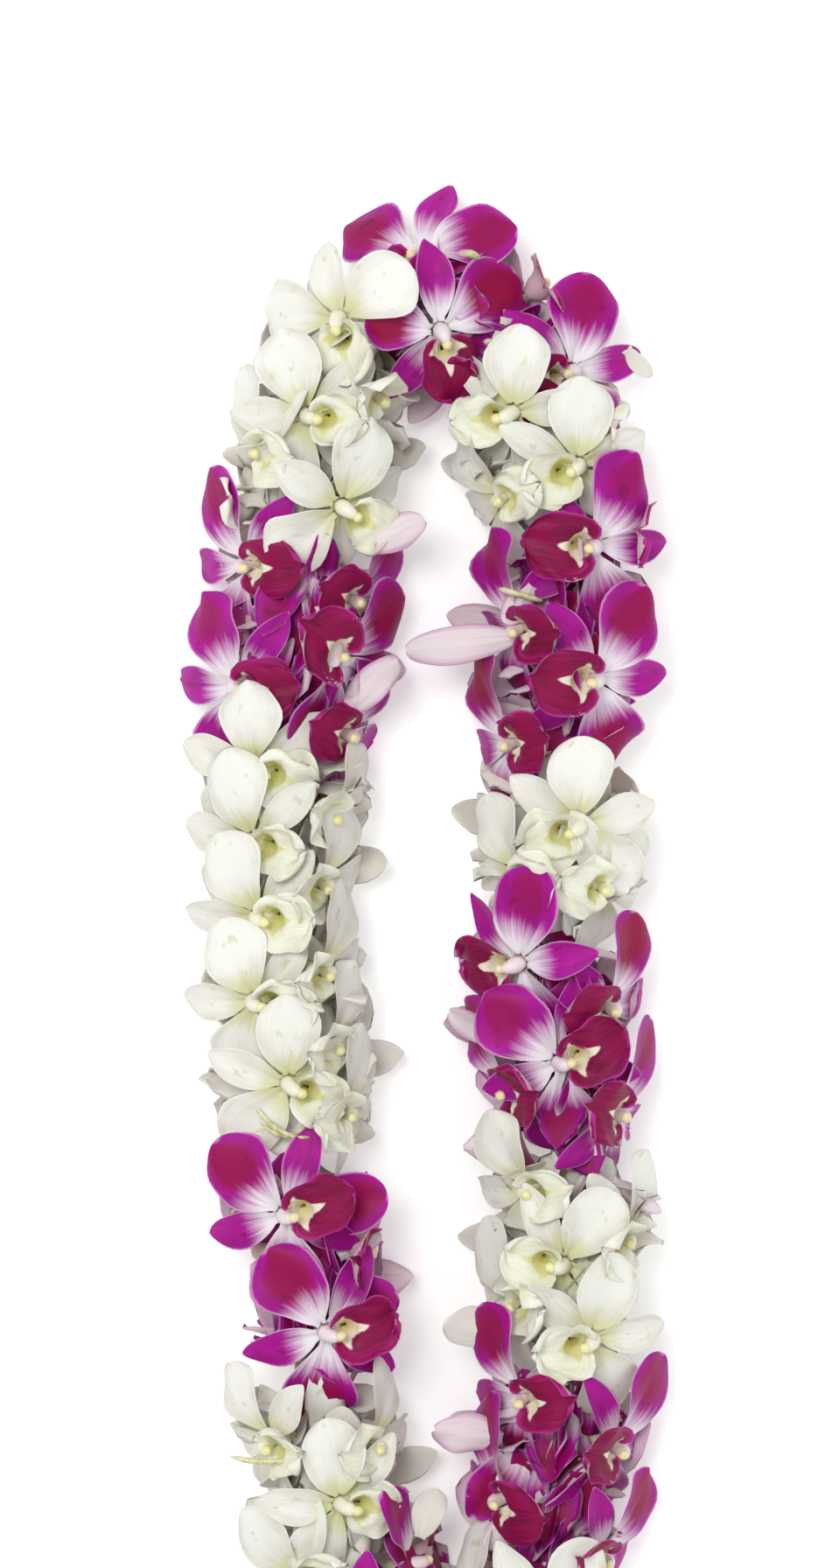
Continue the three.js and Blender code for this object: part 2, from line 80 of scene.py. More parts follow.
# A bunch: name, colour, start on the string, blooms as (distance, angle round the string, lean, roll).
# Angle 0 faces up and 90 faces away from the loop's hole.
bunches = (
    ("purple_bunch_top", "purple", 894, (
        (899, 60, 25, -6), (937, -30, -12, 24), (944, 85, 30, -16), (917, -80, -70, 180), (920, 95, 95, 8))),
    ("white_bunch_left_1", "white", 959, (
        (968, 22, 14, -30), (997, 12, 8, 0), (1024, -37, -30, -15), (984, -66, -60, 180), (1009, 66, 56, -8),
        (1028, 100, 100, 10))),
    ("purple_bunch_left_1", "purple", 1034, (
        (1045, 80, 45, 4), (1083, 68, 34, 2), (1053, -72, -60, 172), (1072, -48, -58, 160),
        (1096, -84, -66, 180))),
    ("white_bunch_left_2", "white", 1100, (
        (1109, 34, 12, -12), (1132, 30, 22, 0), (1155, 19, 16, 4), (1122, -52, -62, 176),
        (1144, -50, -62, 186))),
    ("white_bunch_left_3", "white", 1166, (
        (1181, 28, 20, -4), (1208, 2, 0, -28), (1173, -48, -60, 184), (1198, -52, -62, 180),
        (1218, -60, -64, 190))),
    ("purple_bunch_left_2", "purple", 1232, (
        (1249, 13, 6, 13), (1287, -22, -12, 15), (1262, -86, -80, 180), (1286, -88, -80, 172))),
    ("white_bunch_left_4", "white", 1304, (
        (1320, 60, 52, 0), (1342, -12, -8, -12), (1361, 50, 38, 8), (1326, -62, -62, 180))),
    ("purple_bunch_bottom", "purple", 1367, (
        (1384, 18, 20, 8), (1409, 34, 30, -6), (1371, -80, -76, 6), (1396, -54, -60, 180))),
    ("white_bunch_bottom", "white", 1420, (
        (1431, 22, 24, 0), (1452, 12, 16, 6), (1442, -56, -60, 180))),
    ("purple_bunch_right_3", "purple", 1460, (
        (1472, 76, 62, -8), (1504, 68, 60, 0), (1484, -62, -60, 180), (1519, -46, -54, 180))),
    ("white_bunch_right_3", "white", 1530, (
        (1539, 24, 18, 8), (1562, -10, 2, -14), (1586, -50, -50, 180), (1570, 62, 60, 0),
        (1548, -64, -56, 180))),
    ("purple_bunch_right_2", "purple", 1595, (
        (1608, 57, 66, -12), (1642, 60, 62, 2), (1626, -2, -6, 196), (1657, -40, -34, 2),
        (1618, -72, -62, 180))),
    ("white_bunch_right_2", "white", 1671, (
        (1701, 16, 8, 22), (1682, 52, 50, 0), (1684, -44, -50, 180))),
    ("purple_bunch_right_1", "purple", 1722, (
        (1747, 27, 20, 0), (1788, 31, 20, -10), (1726, -76, -62, 180), (1764, -56, -58, 172),
        (1792, 100, 102, 4))),
    ("white_bunch_right_1", "white", 1797, (
        (1813, 29, 14, 10), (1834, -28, -24, -12), (1808, -62, -58, 180), (1822, 98, 98, 0))),
)

# Numbers by which the materials tell the organs and rods of a bloom apart.
organCodes = {"petal": 0, "dorsal": 1, "lateral": 2, "lip": 3}
rodCodes = {"column": 0, "cap": 1, "stalk": 2, "chin": 3}

# How much each trait varies: its channel of fixed numbers, and the most that it adds or takes off.
traits = {
    "lean": (1, 5), "reach": (2, 0.05), "roll": (3, 6), "underTurn": (60, 4), "underRoll": (70, 5),
    "azimuth": (10, 4), "length": (20, 0.05), "width": (30, 0.06), "riseFrom": (40, 3), "riseTo": (50, 8),
    "curlFrom": (80, 0.25), "curlTo": (90, 0.35), "broadest": (140, 0.04), "wave": (100, 0.6),
    "lobes": (150, 0.5), "twist": (110, 1), "tint": (120, 0.5), "mood": (160, 0.5),
    "lipSize": (170, 0.06), "lipDrop": (171, 2.5), "lipFrill": (172, 0.4), "lipTint": (173, 0.5),
    "lipFold": (174, 1.6), "rodTint": (130, 0.5), "ovaryBow": (131, 1), "stemTint": (210, 0.5),
    "crushedPlace": (205, 0.3), "crushedTurn": (206, 0.3), "crushedSlant": (207, 14),
    "crushedSwing": (208, 0.4), "crushedLength": (209, 0.2), "crushedWidth": (211, 0.2),
    "crushedWave": (201, 1), "crushedTwist": (202, 24), "crushedTint": (203, 0.5), "crushedMood": (204, 0.5),
}
scatter = (12.9898, 78.233, 43758.5453)  # by number, by channel, and the spread


def vary(number, trait, step=0):  # the same amount each time for one number, trait and step
    channel, most = traits[trait]
    x = math.sin(number * scatter[0] + (channel + step) * scatter[1]) * scatter[2]
    return most * (2 * (x - math.floor(x)) - 1)


def linePoint(share):  # a closed Catmull-Rom curve through the string's points
    points = lei["stringLine"]
    place = share % 1 * len(points)
    first = int(place)
    w = place - first
    a, b, c, d = (Vector(points[(first + k) % len(points)]) for k in (-1, 0, 1, 2))
    start = (c - a) / 2
    end = (d - b) / 2
    flat = b + start * w + (3 * c - 3 * b - 2 * start - end) * w**2 + (2 * b - 2 * c + start + end) * w**3
    return flat.to_3d() + Vector((0, 0, lei["stringHeight"]))


def measuredLine():  # how far along the line each of its steps is
    steps = lei["lineSteps"]
    lengths = [0.0]
    for step in range(steps):
        stretch = linePoint((step + 1) / steps) - linePoint(step / steps)
        lengths.append(lengths[-1] + stretch.length)
    return lengths


lineLengths = measuredLine()
loopLength = lineLengths[-1]
leiOrigin = Vector(lei["origin"])
up = Vector((0, 0, 1))


def station(distance):  # a place on the string in metres, its direction, and the one away from the hole
    target = distance / loopLength % 1 * loopLength
    step = min(bisect.bisect_right(lineLengths, target) - 1, lei["lineSteps"] - 1)
    part = (target - lineLengths[step]) / (lineLengths[step + 1] - lineLengths[step])
    share = (step + part) / lei["lineSteps"]
    nudge = lei["directionStep"]
    along = (linePoint(share + nudge) - linePoint(share - nudge)).normalized()
    return (linePoint(share) + leiOrigin) * mm, along, along.cross(up).normalized()


def inLei(point):  # a place given in mm from the string line's own middle
    return (Vector(point) + leiOrigin) * mm


def lineBetween(start, end):
    count = max(2, round((end - start) / lei["linePitch"]))
    return [station(start + (end - start) * k / count)[0] for k in range(count + 1)]


def bunchSpan(number):  # from where to where a bunch reaches along the string
    start = bunches[number][2]
    end = bunches[number + 1][2] if number + 1 < len(bunches) else bunches[0][2] + loopLength
    return start, end


# The middle of a bloom's face, and its axes as columns: sideways, to the dorsal sepal and outwards.
def bloomFrame(place, index):
    distance, angle, lean, roll = place
    at, _, outward = station(distance)
    side = math.radians(angle)
    face = math.radians(lean + vary(index, "lean"))
    reach = lei["bloomReach"] * mm * (1 + vary(index, "reach"))
    middle = at + outward * reach * math.sin(side) + up * reach * math.cos(side)
    normal = outward * math.sin(face) + up * math.cos(face)
    dorsal = outward * math.cos(face) - up * math.sin(face)
    basis = Matrix((dorsal.cross(normal), dorsal, normal)).transposed()
    leftSide = distance / loopLength % 1 < 0.5
    shingle = math.radians(-lei["shingle"] if leftSide else lei["shingle"])
    turn = math.radians(roll + vary(index, "roll"))
    return middle, basis @ Matrix.Rotation(shingle, 3, "Y") @ Matrix.Rotation(turn, 3, "Z")


def faceFields(middle, axes):  # a bloom's place as attributes of its organs
    sideways, dorsal, normal = (column.copy() for column in axes.col)
    return {"centre": middle, "axisX": sideways, "axisY": dorsal, "axisZ": normal}


def undersideBlooms(number):  # the two rows of blooms under a bunch
    start, end = bunchSpan(number)
    count = max(1, round((end - start) / lei["undersideSpacing"]))
    blooms = []
    for row, (angle, lean, swing, share) in enumerate(lei["undersideRows"]):
        for k in range(count):
            seed = number * lei["undersideSeeds"] + k
            distance = start + (k + share) / count * (end - start)
            turn = (swing if k % 2 else -swing) + vary(seed, "underTurn", row)
            blooms.append((distance, angle + turn, lean + turn, vary(seed, "underRoll", row)))
    return blooms


class Wire:  # one output of a node, which adds maths nodes when it is used in a sum
    def __init__(self, net, socket):
        self.net = net
        self.socket = socket

    def __add__(self, other):
        return self.net.maths("ADD", self, other)

    def __sub__(self, other):
        return self.net.maths("SUBTRACT", self, other)

    def __rsub__(self, other):
        return self.net.maths("SUBTRACT", other, self)

    def __mul__(self, other):
        return self.net.maths("MULTIPLY", self, other)

    def __truediv__(self, other):
        return self.net.maths("DIVIDE", self, other)

    def __pow__(self, other):
        return self.net.maths("POWER", self, other)

    def __neg__(self):
        return self.net.maths("MULTIPLY", self, -1)

    __radd__ = __add__
    __rmul__ = __mul__


class Net:  # a node tree, with one way to add a node to it
    def __init__(self, tree):
        self.tree = tree

    def node(self, kind, settings=None, sockets=None, output=0):
        made = self.tree.nodes.new(kind)
        for name, value in (settings or {}).items():
            setattr(made, name, value)
        for key, value in (sockets or {}).items():
            target = self.pick(made.inputs, key)
            if isinstance(value, Wire):
                self.tree.links.new(value.socket, target)
            else:
                target.default_value = value
        return Wire(self, self.pick(made.outputs, output))

    def pick(self, sockets, key):  # a socket by its number or name, among those that the node's settings show
        if isinstance(key, int):
            return [s for s in sockets if s.enabled][key]
        return next(s for s in sockets if s.enabled and key in (s.name, s.identifier))

    def maths(self, operation, *values):
        return self.node("ShaderNodeMath", {"operation": operation}, dict(enumerate(values)))

    def smooth(self, value, low, high):  # 0 at low, 1 at high, eased between
        return self.node("ShaderNodeMapRange", {"interpolation_type": "SMOOTHSTEP"},
                         {"Value": value, "From Min": low, "From Max": high})

    def bell(self, value, middle, width):  # 1 at the middle, falling off on both sides
        share = (value - middle) / width
        return self.maths("EXPONENT", -(share * share))

    def mix(self, factor, first, second):  # of two colours
        return self.node("ShaderNodeMix", {"data_type": "RGBA", "clamp_factor": True},
                         {"Factor": factor, "A": first, "B": second})

    def vector(self, operation, *values):
        return self.node("ShaderNodeVectorMath", {"operation": operation}, dict(enumerate(values)))

    def scaled(self, vector, factor):
        return self.node("ShaderNodeVectorMath", {"operation": "SCALE"}, {"Vector": vector, "Scale": factor})

    def combined(self, x, y, z):
        return self.node("ShaderNodeCombineXYZ", None, {0: x, 1: y, 2: z})

    def separated(self, vector):
        first = self.node("ShaderNodeSeparateXYZ", None, {0: vector})
        return [Wire(self, socket) for socket in first.socket.node.outputs]

    def noise(self, vector, scale, detail=2.0, output=0):
        sockets = {"Vector": vector, "Scale": scale, "Detail": detail}
        return self.node("ShaderNodeTexNoise", None, sockets, output)


class Finish(Net):  # a material's tree, with its shader and the pieces' own attributes
    def __init__(self, name, tones, **constants):
        self.material = bpy.data.materials.new(name)
        self.material.use_nodes = True
        super().__init__(self.material.node_tree)
        self.shader = self.tree.nodes["Principled BSDF"]
        self.tones = tones
        for key, value in constants.items():
            self.shader.inputs[key.replace("_", " ")].default_value = value

    def attribute(self, name):
        return self.node("ShaderNodeAttribute", {"attribute_name": name}, None, "Fac")

    def place(self):
        return self.node("ShaderNodeTexCoord", None, None, "Object")

    def zone(self, value, limits):  # how strongly a pattern shows: its start, where it is full, and the most
        low, high, most = limits
        return self.smooth(value, low, high) * most

    def painted(self, first, *coats):  # one tone over another, each as strong as its own factor
        skin = self.tones[first]
        for factor, tone in coats:
            skin = self.mix(factor, skin, self.tones[tone])
        return skin

    def feed(self, key, wire):
        self.tree.links.new(wire.socket, self.shader.inputs[key])

    def relief(self, height, strength, distance):
        sockets = {"Height": height, "Strength": strength, "Distance": distance}
        self.feed("Normal", self.node("ShaderNodeBump", None, sockets))


def rgb(red, green, blue):  # a display colour from 0 to 255 as the linear one that Blender takes
    shares = [channel / 255 for channel in (red, green, blue)]
    return (*(s / 12.92 if s <= 0.04045 else ((s + 0.055) / 1.055) ** 2.4 for s in shares), 1)


# A petal's deep tone darkens it in cloudy patches of its own colour and, as painted shade, more towards its
# edges.
petalTones = {
    "purple": {
        "body": rgb(184, 16, 168), "deep": rgb(136, 4, 108), "blotch": rgb(144, 0, 62),
        "base": rgb(240, 232, 238), "rim": rgb(226, 150, 210), "veins": rgb(124, 6, 96),
        "reverse": rgb(232, 218, 220), "reverseEdge": rgb(196, 120, 178), "bruise": rgb(112, 0, 66),
        "lip": rgb(142, 2, 72), "lipDeep": rgb(100, 0, 46), "lipRim": rgb(192, 40, 150),
        "throat": rgb(240, 230, 206), "heart": rgb(220, 206, 132),
    },
    "white": {
        "body": rgb(239, 236, 227), "deep": rgb(217, 213, 198), "blotch": rgb(242, 241, 233),
        "base": rgb(218, 217, 170), "rim": rgb(246, 245, 238), "veins": rgb(206, 205, 184),
        "reverse": rgb(226, 221, 210), "reverseEdge": rgb(236, 232, 222), "bruise": rgb(206, 196, 148),
        "lip": rgb(240, 239, 222), "lipDeep": rgb(226, 224, 190), "lipRim": rgb(246, 245, 234),
        "throat": rgb(226, 221, 160), "heart": rgb(198, 192, 104),
    },
}
# Noise on a petal: its rate across, its shift by tint, its rate along, its layer by tint, and its detail.
petalNoise = {
    "streaks": (7, 40, 1.3, 9, 3.0), "threads": (26, 90, 2.2, 5, 2.0),
    "cloud": (1.4, 17, 2.4, 3, 2.0), "specks": (3, 31, 5, 7, 3.0),
}
# Where each pattern starts to show and where it is full, as shares of a petal or of the noise, and its most.
petalZones = {
    # The first zone gives darker cloudy patches of a petal's own tone, with painted shade that grows towards
    # its edges.
    "cloudAndEdgeShade": (0.45, 0.85, 0.7), "specks": (0.62, 0.72, 0.55), "edge": (0.9, 0.985, 0.8),
    "tip": (0.965, 0.995, 0.8),
    "purpleVeins": (0.48, 0.72, 0.35), "whiteVeins": (0.48, 0.72, 0.6),
    "purpleBase": (0.1, 0.46, 1), "whiteBase": (0.1, 0.34, 1), "blotch": (0.25, 1.0, 1),
    "reverseEdge": (0.6, 1.0, 0.6), "reverseVeins": (0.48, 0.7, 0.25), "front": (-0.15, 0.15, 1),
    "lipDeep": (0.45, 0.7, 0.8), "lipStreaks": (0.5, 0.7, 0.6), "lipEdge": (0.35, 0.9, 1),
    "throat": (0.27, 0.33, 1), "heart": (0.05, 0.27, 1),
}
petalPattern = {
    "baseFray": (0.34, 0.12, 0.14),  # by streaks, threads and cloud
    "blotchAt": 0.68, "blotchLength": 0.42, "blotchWidth": 0.88, "blotchFray": 0.8,
    # The share towards the edge sets how much the painted shade grows towards a petal's edges.
    "sepalBlotch": 0.35, "moodShare": 0.25, "shadeToEdge": 0.25, "reverseFray": 0.3, "lipBack": 0.55,
    # a lip's throat is a star: a ray in the middle and one to each side, as length, place and width
    "middleRay": (0.24, 0, 0.12), "sideRay": (0.13, 0.62, 0.1), "throatFray": 0.12,
    "lipThreads": 0.6, "lipCloud": 0.5,
    "glow": (1.0, 0.55, 0.8),  # how far red, green and blue light wander inside
    "roughness": 0.42, "roughSpread": 0.2, "streakRelief": 0.5, "threadRelief": 0.4, "reliefDepth": 0.4 * mm,
}


class PetalFinish(Finish):  # the tree of a petal's material, with its places and patterns at hand
    def __init__(self, colour):
        super().__init__(colour + "Petal", petalTones[colour], Subsurface_Weight=0.12,
                         Subsurface_Scale=0.002, Specular_IOR_Level=0.22)
        self.shader.inputs["Subsurface Radius"].default_value = petalPattern["glow"]
        self.colour = colour
        self.along = self.attribute("along")
        self.across = self.attribute("across")
        self.tint = self.attribute("tint")
        self.broad = self.maths("ABSOLUTE", self.across)
        self.streaks = self.pattern("streaks")
        self.threads = self.pattern("threads")
        self.cloud = self.pattern("cloud")
        self.isLip = self.maths("GREATER_THAN", self.attribute("organ"), organCodes["lip"] - 0.5)
        self.rim = self.maths("MAXIMUM", self.shown("edge", self.broad), self.shown("tip", self.along))

    def pattern(self, name):  # noise that fans out from the base, at even shares of the organ's width
        acrossRate, acrossShift, alongRate, layer, detail = petalNoise[name]
        sideways = self.across * acrossRate + self.tint * acrossShift
        return self.noise(self.combined(sideways, self.along * alongRate, self.tint * layer), 1.0, detail)

    def shown(self, name, value):
        return self.zone(value, petalZones[name])

    def frayed(self, noise, share):
        return (noise - 0.5) * share

    def blotch(self):  # the darker middle of a petal, weaker on sepals and in some blooms
        mood = self.attribute("mood") * petalPattern["moodShare"]
        far = (self.along - petalPattern["blotchAt"]) / petalPattern["blotchLength"]
        wide = self.across / petalPattern["blotchWidth"]
        ring = self.maths("SQRT", far * far + wide * wide)
        ring = ring + self.frayed(self.cloud, petalPattern["blotchFray"])
        isPetal = self.maths("LESS_THAN", self.attribute("organ"), organCodes["petal"] + 0.5)
        weight = isPetal * (1 - petalPattern["sepalBlotch"]) + petalPattern["sepalBlotch"]
        strength = 1 - petalPattern["moodShare"] + mood
        return (1 - self.shown("blotch", ring - mood)) * weight * strength

    def front(self):
        byStreaks, byThreads, byCloud = petalPattern["baseFray"]
        base = self.along + self.frayed(self.streaks, byStreaks) + self.frayed(self.threads, byThreads)
        base = base + self.frayed(self.cloud, byCloud)
        base = 1 - self.shown(self.colour + "Base", base)
        # darker cloudy patches of the petal's own tone, and painted shade towards its edges
        cloudAndEdgeShade = self.shown("cloudAndEdgeShade", self.cloud + self.broad * petalPattern["shadeToEdge"])
        veins = self.shown(self.colour + "Veins", self.threads)
        specks = self.shown("specks", self.pattern("specks"))
        return self.painted("body", (cloudAndEdgeShade, "deep"), (veins, "veins"), (self.blotch(), "blotch"),
                            (specks, "bruise"), (self.rim, "rim"), (base, "base"))

    def lip(self):
        middleRay, *middle = petalPattern["middleRay"]
        sideRay, *side = petalPattern["sideRay"]
        throat = self.along - middleRay * self.bell(self.across, *middle)
        throat = throat - sideRay * self.bell(self.broad, *side)
        throat = 1 - self.shown("throat", throat + self.frayed(self.streaks, petalPattern["throatFray"]))
        heart = 1 - self.shown("heart", self.along)
        deep = self.threads * petalPattern["lipThreads"] + self.cloud * petalPattern["lipCloud"]
        streaks = self.shown("lipStreaks", self.streaks) * self.shown("lipEdge", self.broad)
        return self.painted("lip", (self.shown("lipDeep", deep), "lipDeep"), (streaks, "lipRim"),
                            (self.rim, "lipRim"), (throat, "throat"), (heart, "heart"))

    def reverse(self):
        edge = self.broad + self.frayed(self.streaks, petalPattern["reverseFray"])
        skin = self.painted("reverse", (self.shown("reverseEdge", edge), "reverseEdge"),
                            (self.shown("reverseVeins", self.threads), "reverseEdge"))
        return self.mix(self.isLip, skin, self.painted("lip", (petalPattern["lipBack"], "reverse")))


def petalMaterial(colour):
    net = PetalFinish(colour)
    front = net.mix(net.isLip, net.front(), net.lip())
    facing = net.shown("front", net.attribute("side"))
    net.feed("Base Color", net.mix(facing, net.reverse(), front))
    net.feed("Roughness", petalPattern["roughness"] + net.cloud * petalPattern["roughSpread"])
    height = net.streaks * petalPattern["streakRelief"] + net.threads * petalPattern["threadRelief"]
    net.relief(height, 0.5, petalPattern["reliefDepth"])
    return net.material


rodTones = {
    "purple": {"column": rgb(236, 222, 226), "cap": rgb(240, 226, 178), "ovary": rgb(214, 206, 170),
               "blush": rgb(196, 128, 176), "green": rgb(176, 178, 120)},
    "white": {"column": rgb(238, 235, 214), "cap": rgb(240, 234, 176), "ovary": rgb(222, 219, 178),
              "blush": rgb(226, 222, 190), "green": rgb(168, 172, 96)},
}
rodPattern = {
    "mottleScale": 420.0, "green": (0.4, 0.7, 1), "pale": (0.0, 0.45, 1), "blush": 0.5, "capWidth": 0.3,
    "ribs": 9, "ribShift": 6, "mottleRelief": 0.5, "ribRelief": 0.25, "reliefDepth": 0.3 * mm,
}


def rodMaterial(colour):
    net = Finish(colour + "Stalk", rodTones[colour], Roughness=0.42, Subsurface_Weight=0.15,
                 Subsurface_Scale=0.0015)
    organ = net.attribute("organ")
    mottle = net.noise(net.place(), rodPattern["mottleScale"], 3.0)
    shift = net.attribute("tint") * rodPattern["ribShift"]
    ribs = net.maths("SINE", net.attribute("across") * rodPattern["ribs"] + shift)
    blush = (1 - net.zone(net.attribute("along"), rodPattern["pale"])) * rodPattern["blush"]
    isColumn = net.maths("LESS_THAN", organ, rodCodes["column"] + 0.5)
    isCap = net.bell(organ, rodCodes["cap"], rodPattern["capWidth"])
    green = net.zone(mottle, rodPattern["green"])
    net.feed("Base Color", net.painted("ovary", (green, "green"), (blush, "blush"), (isColumn, "column"),
                                       (isCap, "cap")))
    height = mottle * rodPattern["mottleRelief"] + ribs * rodPattern["ribRelief"]
    net.relief(height, 0.3, rodPattern["reliefDepth"])
    return net.material


coreTones = {"cream": rgb(226, 216, 184), "green": rgb(186, 182, 128), "brown": rgb(178, 150, 118)}
corePattern = {"mottleScale": 160.0, "tintShift": 0.2, "green": (0.42, 0.7, 1),
               "grainScale": 900.0, "brown": (0.55, 0.75, 0.4), "reliefDepth": 0.3 * mm}


def coreMaterial():
    net = Finish("pressedStems", coreTones, Roughness=0.5, Subsurface_Weight=0.12, Subsurface_Scale=0.0015)
    place = net.place()
    mottle = net.noise(place, corePattern["mottleScale"], 3.0)
    green = net.zone(mottle + net.attribute("tint") * corePattern["tintShift"], corePattern["green"])
    grain = net.noise(place, corePattern["grainScale"], 2.0)
    brown = net.zone(grain, corePattern["brown"])
    net.feed("Base Color", net.painted("cream", (green, "green"), (brown, "brown")))
    net.relief(grain, 0.3, corePattern["reliefDepth"])
    return net.material


threadTones = {"shade": rgb(228, 222, 204), "light": rgb(246, 243, 232)}
threadPattern = {"fluffScale": 2600.0, "light": (0.35, 0.7, 1), "reliefDepth": 0.1 * mm}


def threadMaterial():
    net = Finish("cottonThread", threadTones, Roughness=0.85, Sheen_Weight=0.3, Sheen_Roughness=0.6)
    fluff = net.noise(net.place(), threadPattern["fluffScale"], 3.0)
    net.feed("Base Color", net.painted("shade", (net.zone(fluff, threadPattern["light"]), "light")))
    net.relief(fluff, 0.5, threadPattern["reliefDepth"])
    return net.material


class Shape(Net):  # a Geometry Nodes tree with named inputs
    def __init__(self, name, inputs):
        super().__init__(bpy.data.node_groups.new(name, "GeometryNodeTree"))
        outline = self.tree.interface
        outline.new_socket("Geometry", in_out="OUTPUT", socket_type="NodeSocketGeometry")
        outline.new_socket("Geometry", in_out="INPUT", socket_type="NodeSocketGeometry")
        for key, kind in inputs.items():
            outline.new_socket(key, in_out="INPUT", socket_type="NodeSocket" + kind)
        self.entry = self.tree.nodes.new("NodeGroupInput")

    def given(self, key):
        return Wire(self, self.entry.outputs[key])

    def attribute(self, name, kind="FLOAT"):
        return self.node("GeometryNodeInputNamedAttribute", {"data_type": kind}, {"Name": name})

    def direction(self, name):
        return self.attribute(name, "FLOAT_VECTOR")

    def between(self, first, second, share):  # of two attributes
        start = self.attribute(first)
        return start + (self.attribute(second) - start) * share

    def sine(self, angle):
        return self.maths("SINE", angle)

    def cosine(self, angle):
        return self.maths("COSINE", angle)

    def sum(self, first, second):  # of two vectors
        return self.vector("ADD", first, second)

    def store(self, geometry, name, value):
        return self.node("GeometryNodeStoreNamedAttribute", {"data_type": "FLOAT", "domain": "POINT"},
                         {"Geometry": geometry, "Name": name, "Value": value})

    def close(self, geometry):
        smooth = self.node("GeometryNodeSetShadeSmooth", None, {"Geometry": geometry})
        sockets = {"Geometry": smooth, "Material": self.given("Material")}
        coated = self.node("GeometryNodeSetMaterial", None, sockets)
        outlet = self.tree.nodes.new("NodeGroupOutput")
        self.tree.links.new(coated.socket, outlet.inputs["Geometry"])
        return self.tree

    def blank(self):  # a closed form with poles at its base and tip, and its places stored as attributes
        ball = self.node("GeometryNodeMeshUVSphere", None,
                         {"Segments": self.given("Segments"), "Rings": self.given("Rings"), "Radius": 1.0})
        x, y, z = self.separated(self.node("GeometryNodeInputPosition"))
        ring = self.maths("MAXIMUM", self.maths("SQRT", x * x + y * y), 1e-4)
        ball = self.store(ball, "along", (1 - z) / 2)
        ball = self.store(ball, "across", x / ring)
        return self.store(ball, "side", -(y / ring))

    def onEachPoint(self, form):
        sockets = {"Points": self.given("Geometry"), "Instance": form}
        spread = self.node("GeometryNodeInstanceOnPoints", None, sockets)
        return self.node("GeometryNodeRealizeInstances", None, {"Geometry": spread})

    def moved(self, geometry, position):
        return self.node("GeometryNodeSetPosition", None, {"Geometry": geometry, "Position": position})


# How blades lie: where they begin to flatten on the table, how low they come, and the lumps under them.
lying = {"pressDepth": 5.2 * mm, "lowest": 0.4 * mm, "lumpScale": 70.0, "tipThinning": 0.4}


def inBloom(net, x, y, z):  # from the frame of a bloom's face to the lei's
    first = net.scaled(net.direction("axisX"), x)
    second = net.scaled(net.direction("axisY"), y)
    third = net.scaled(net.direction("axisZ"), z)
    return net.sum(net.sum(first, second), third)


def settle(net, blades, middle, facing, share):  # lays blades off the table and gives them a thickness
    place = net.sum(net.direction("centre"), middle)
    lumps = net.noise(place, lying["lumpScale"], 1.0, "Color")
    shake = net.scaled(net.vector("SUBTRACT", lumps, (0.5, 0.5, 0.5)), net.given("Unevenness") * share)
    x, y, z = net.separated(net.sum(place, shake))
    depth = lying["pressDepth"] - lying["lowest"]
    flattened = lying["lowest"] + depth * net.maths("EXPONENT", (z - lying["pressDepth"]) / depth)
    z = net.maths("MAXIMUM", z, net.maths("MINIMUM", flattened, lying["pressDepth"]))
    skin = net.given("Thickness") * 0.5 * net.attribute("side") * (1 - share * lying["tipThinning"])
    return net.close(net.moved(blades, net.sum(net.combined(x, y, z), net.scaled(facing, skin))))


bladeInputs = {"Segments": "Int", "Rings": "Int", "Thickness": "Float", "Unevenness": "Float",
               "Material": "Material"}
# A blade's waves and lobes: radians from base to tip or from middle to edge, and shares of its size.
bladeForm = {
    "footRadius": 2.6 * mm, "footWidth": 4.4 * mm,
    "endLobes": 4.2, "endNotch": 0.6, "notchWidth": 0.22, "notchSharpness": 8, "sideLobes": 8,
    "firstWave": 9, "secondWave": 12.5, "secondShare": 0.7, "secondShift": 1.7, "grooveWidth": 0.16,
}
seedSpread = 50  # brings a tint from 0 to 1 to a shift of the waves


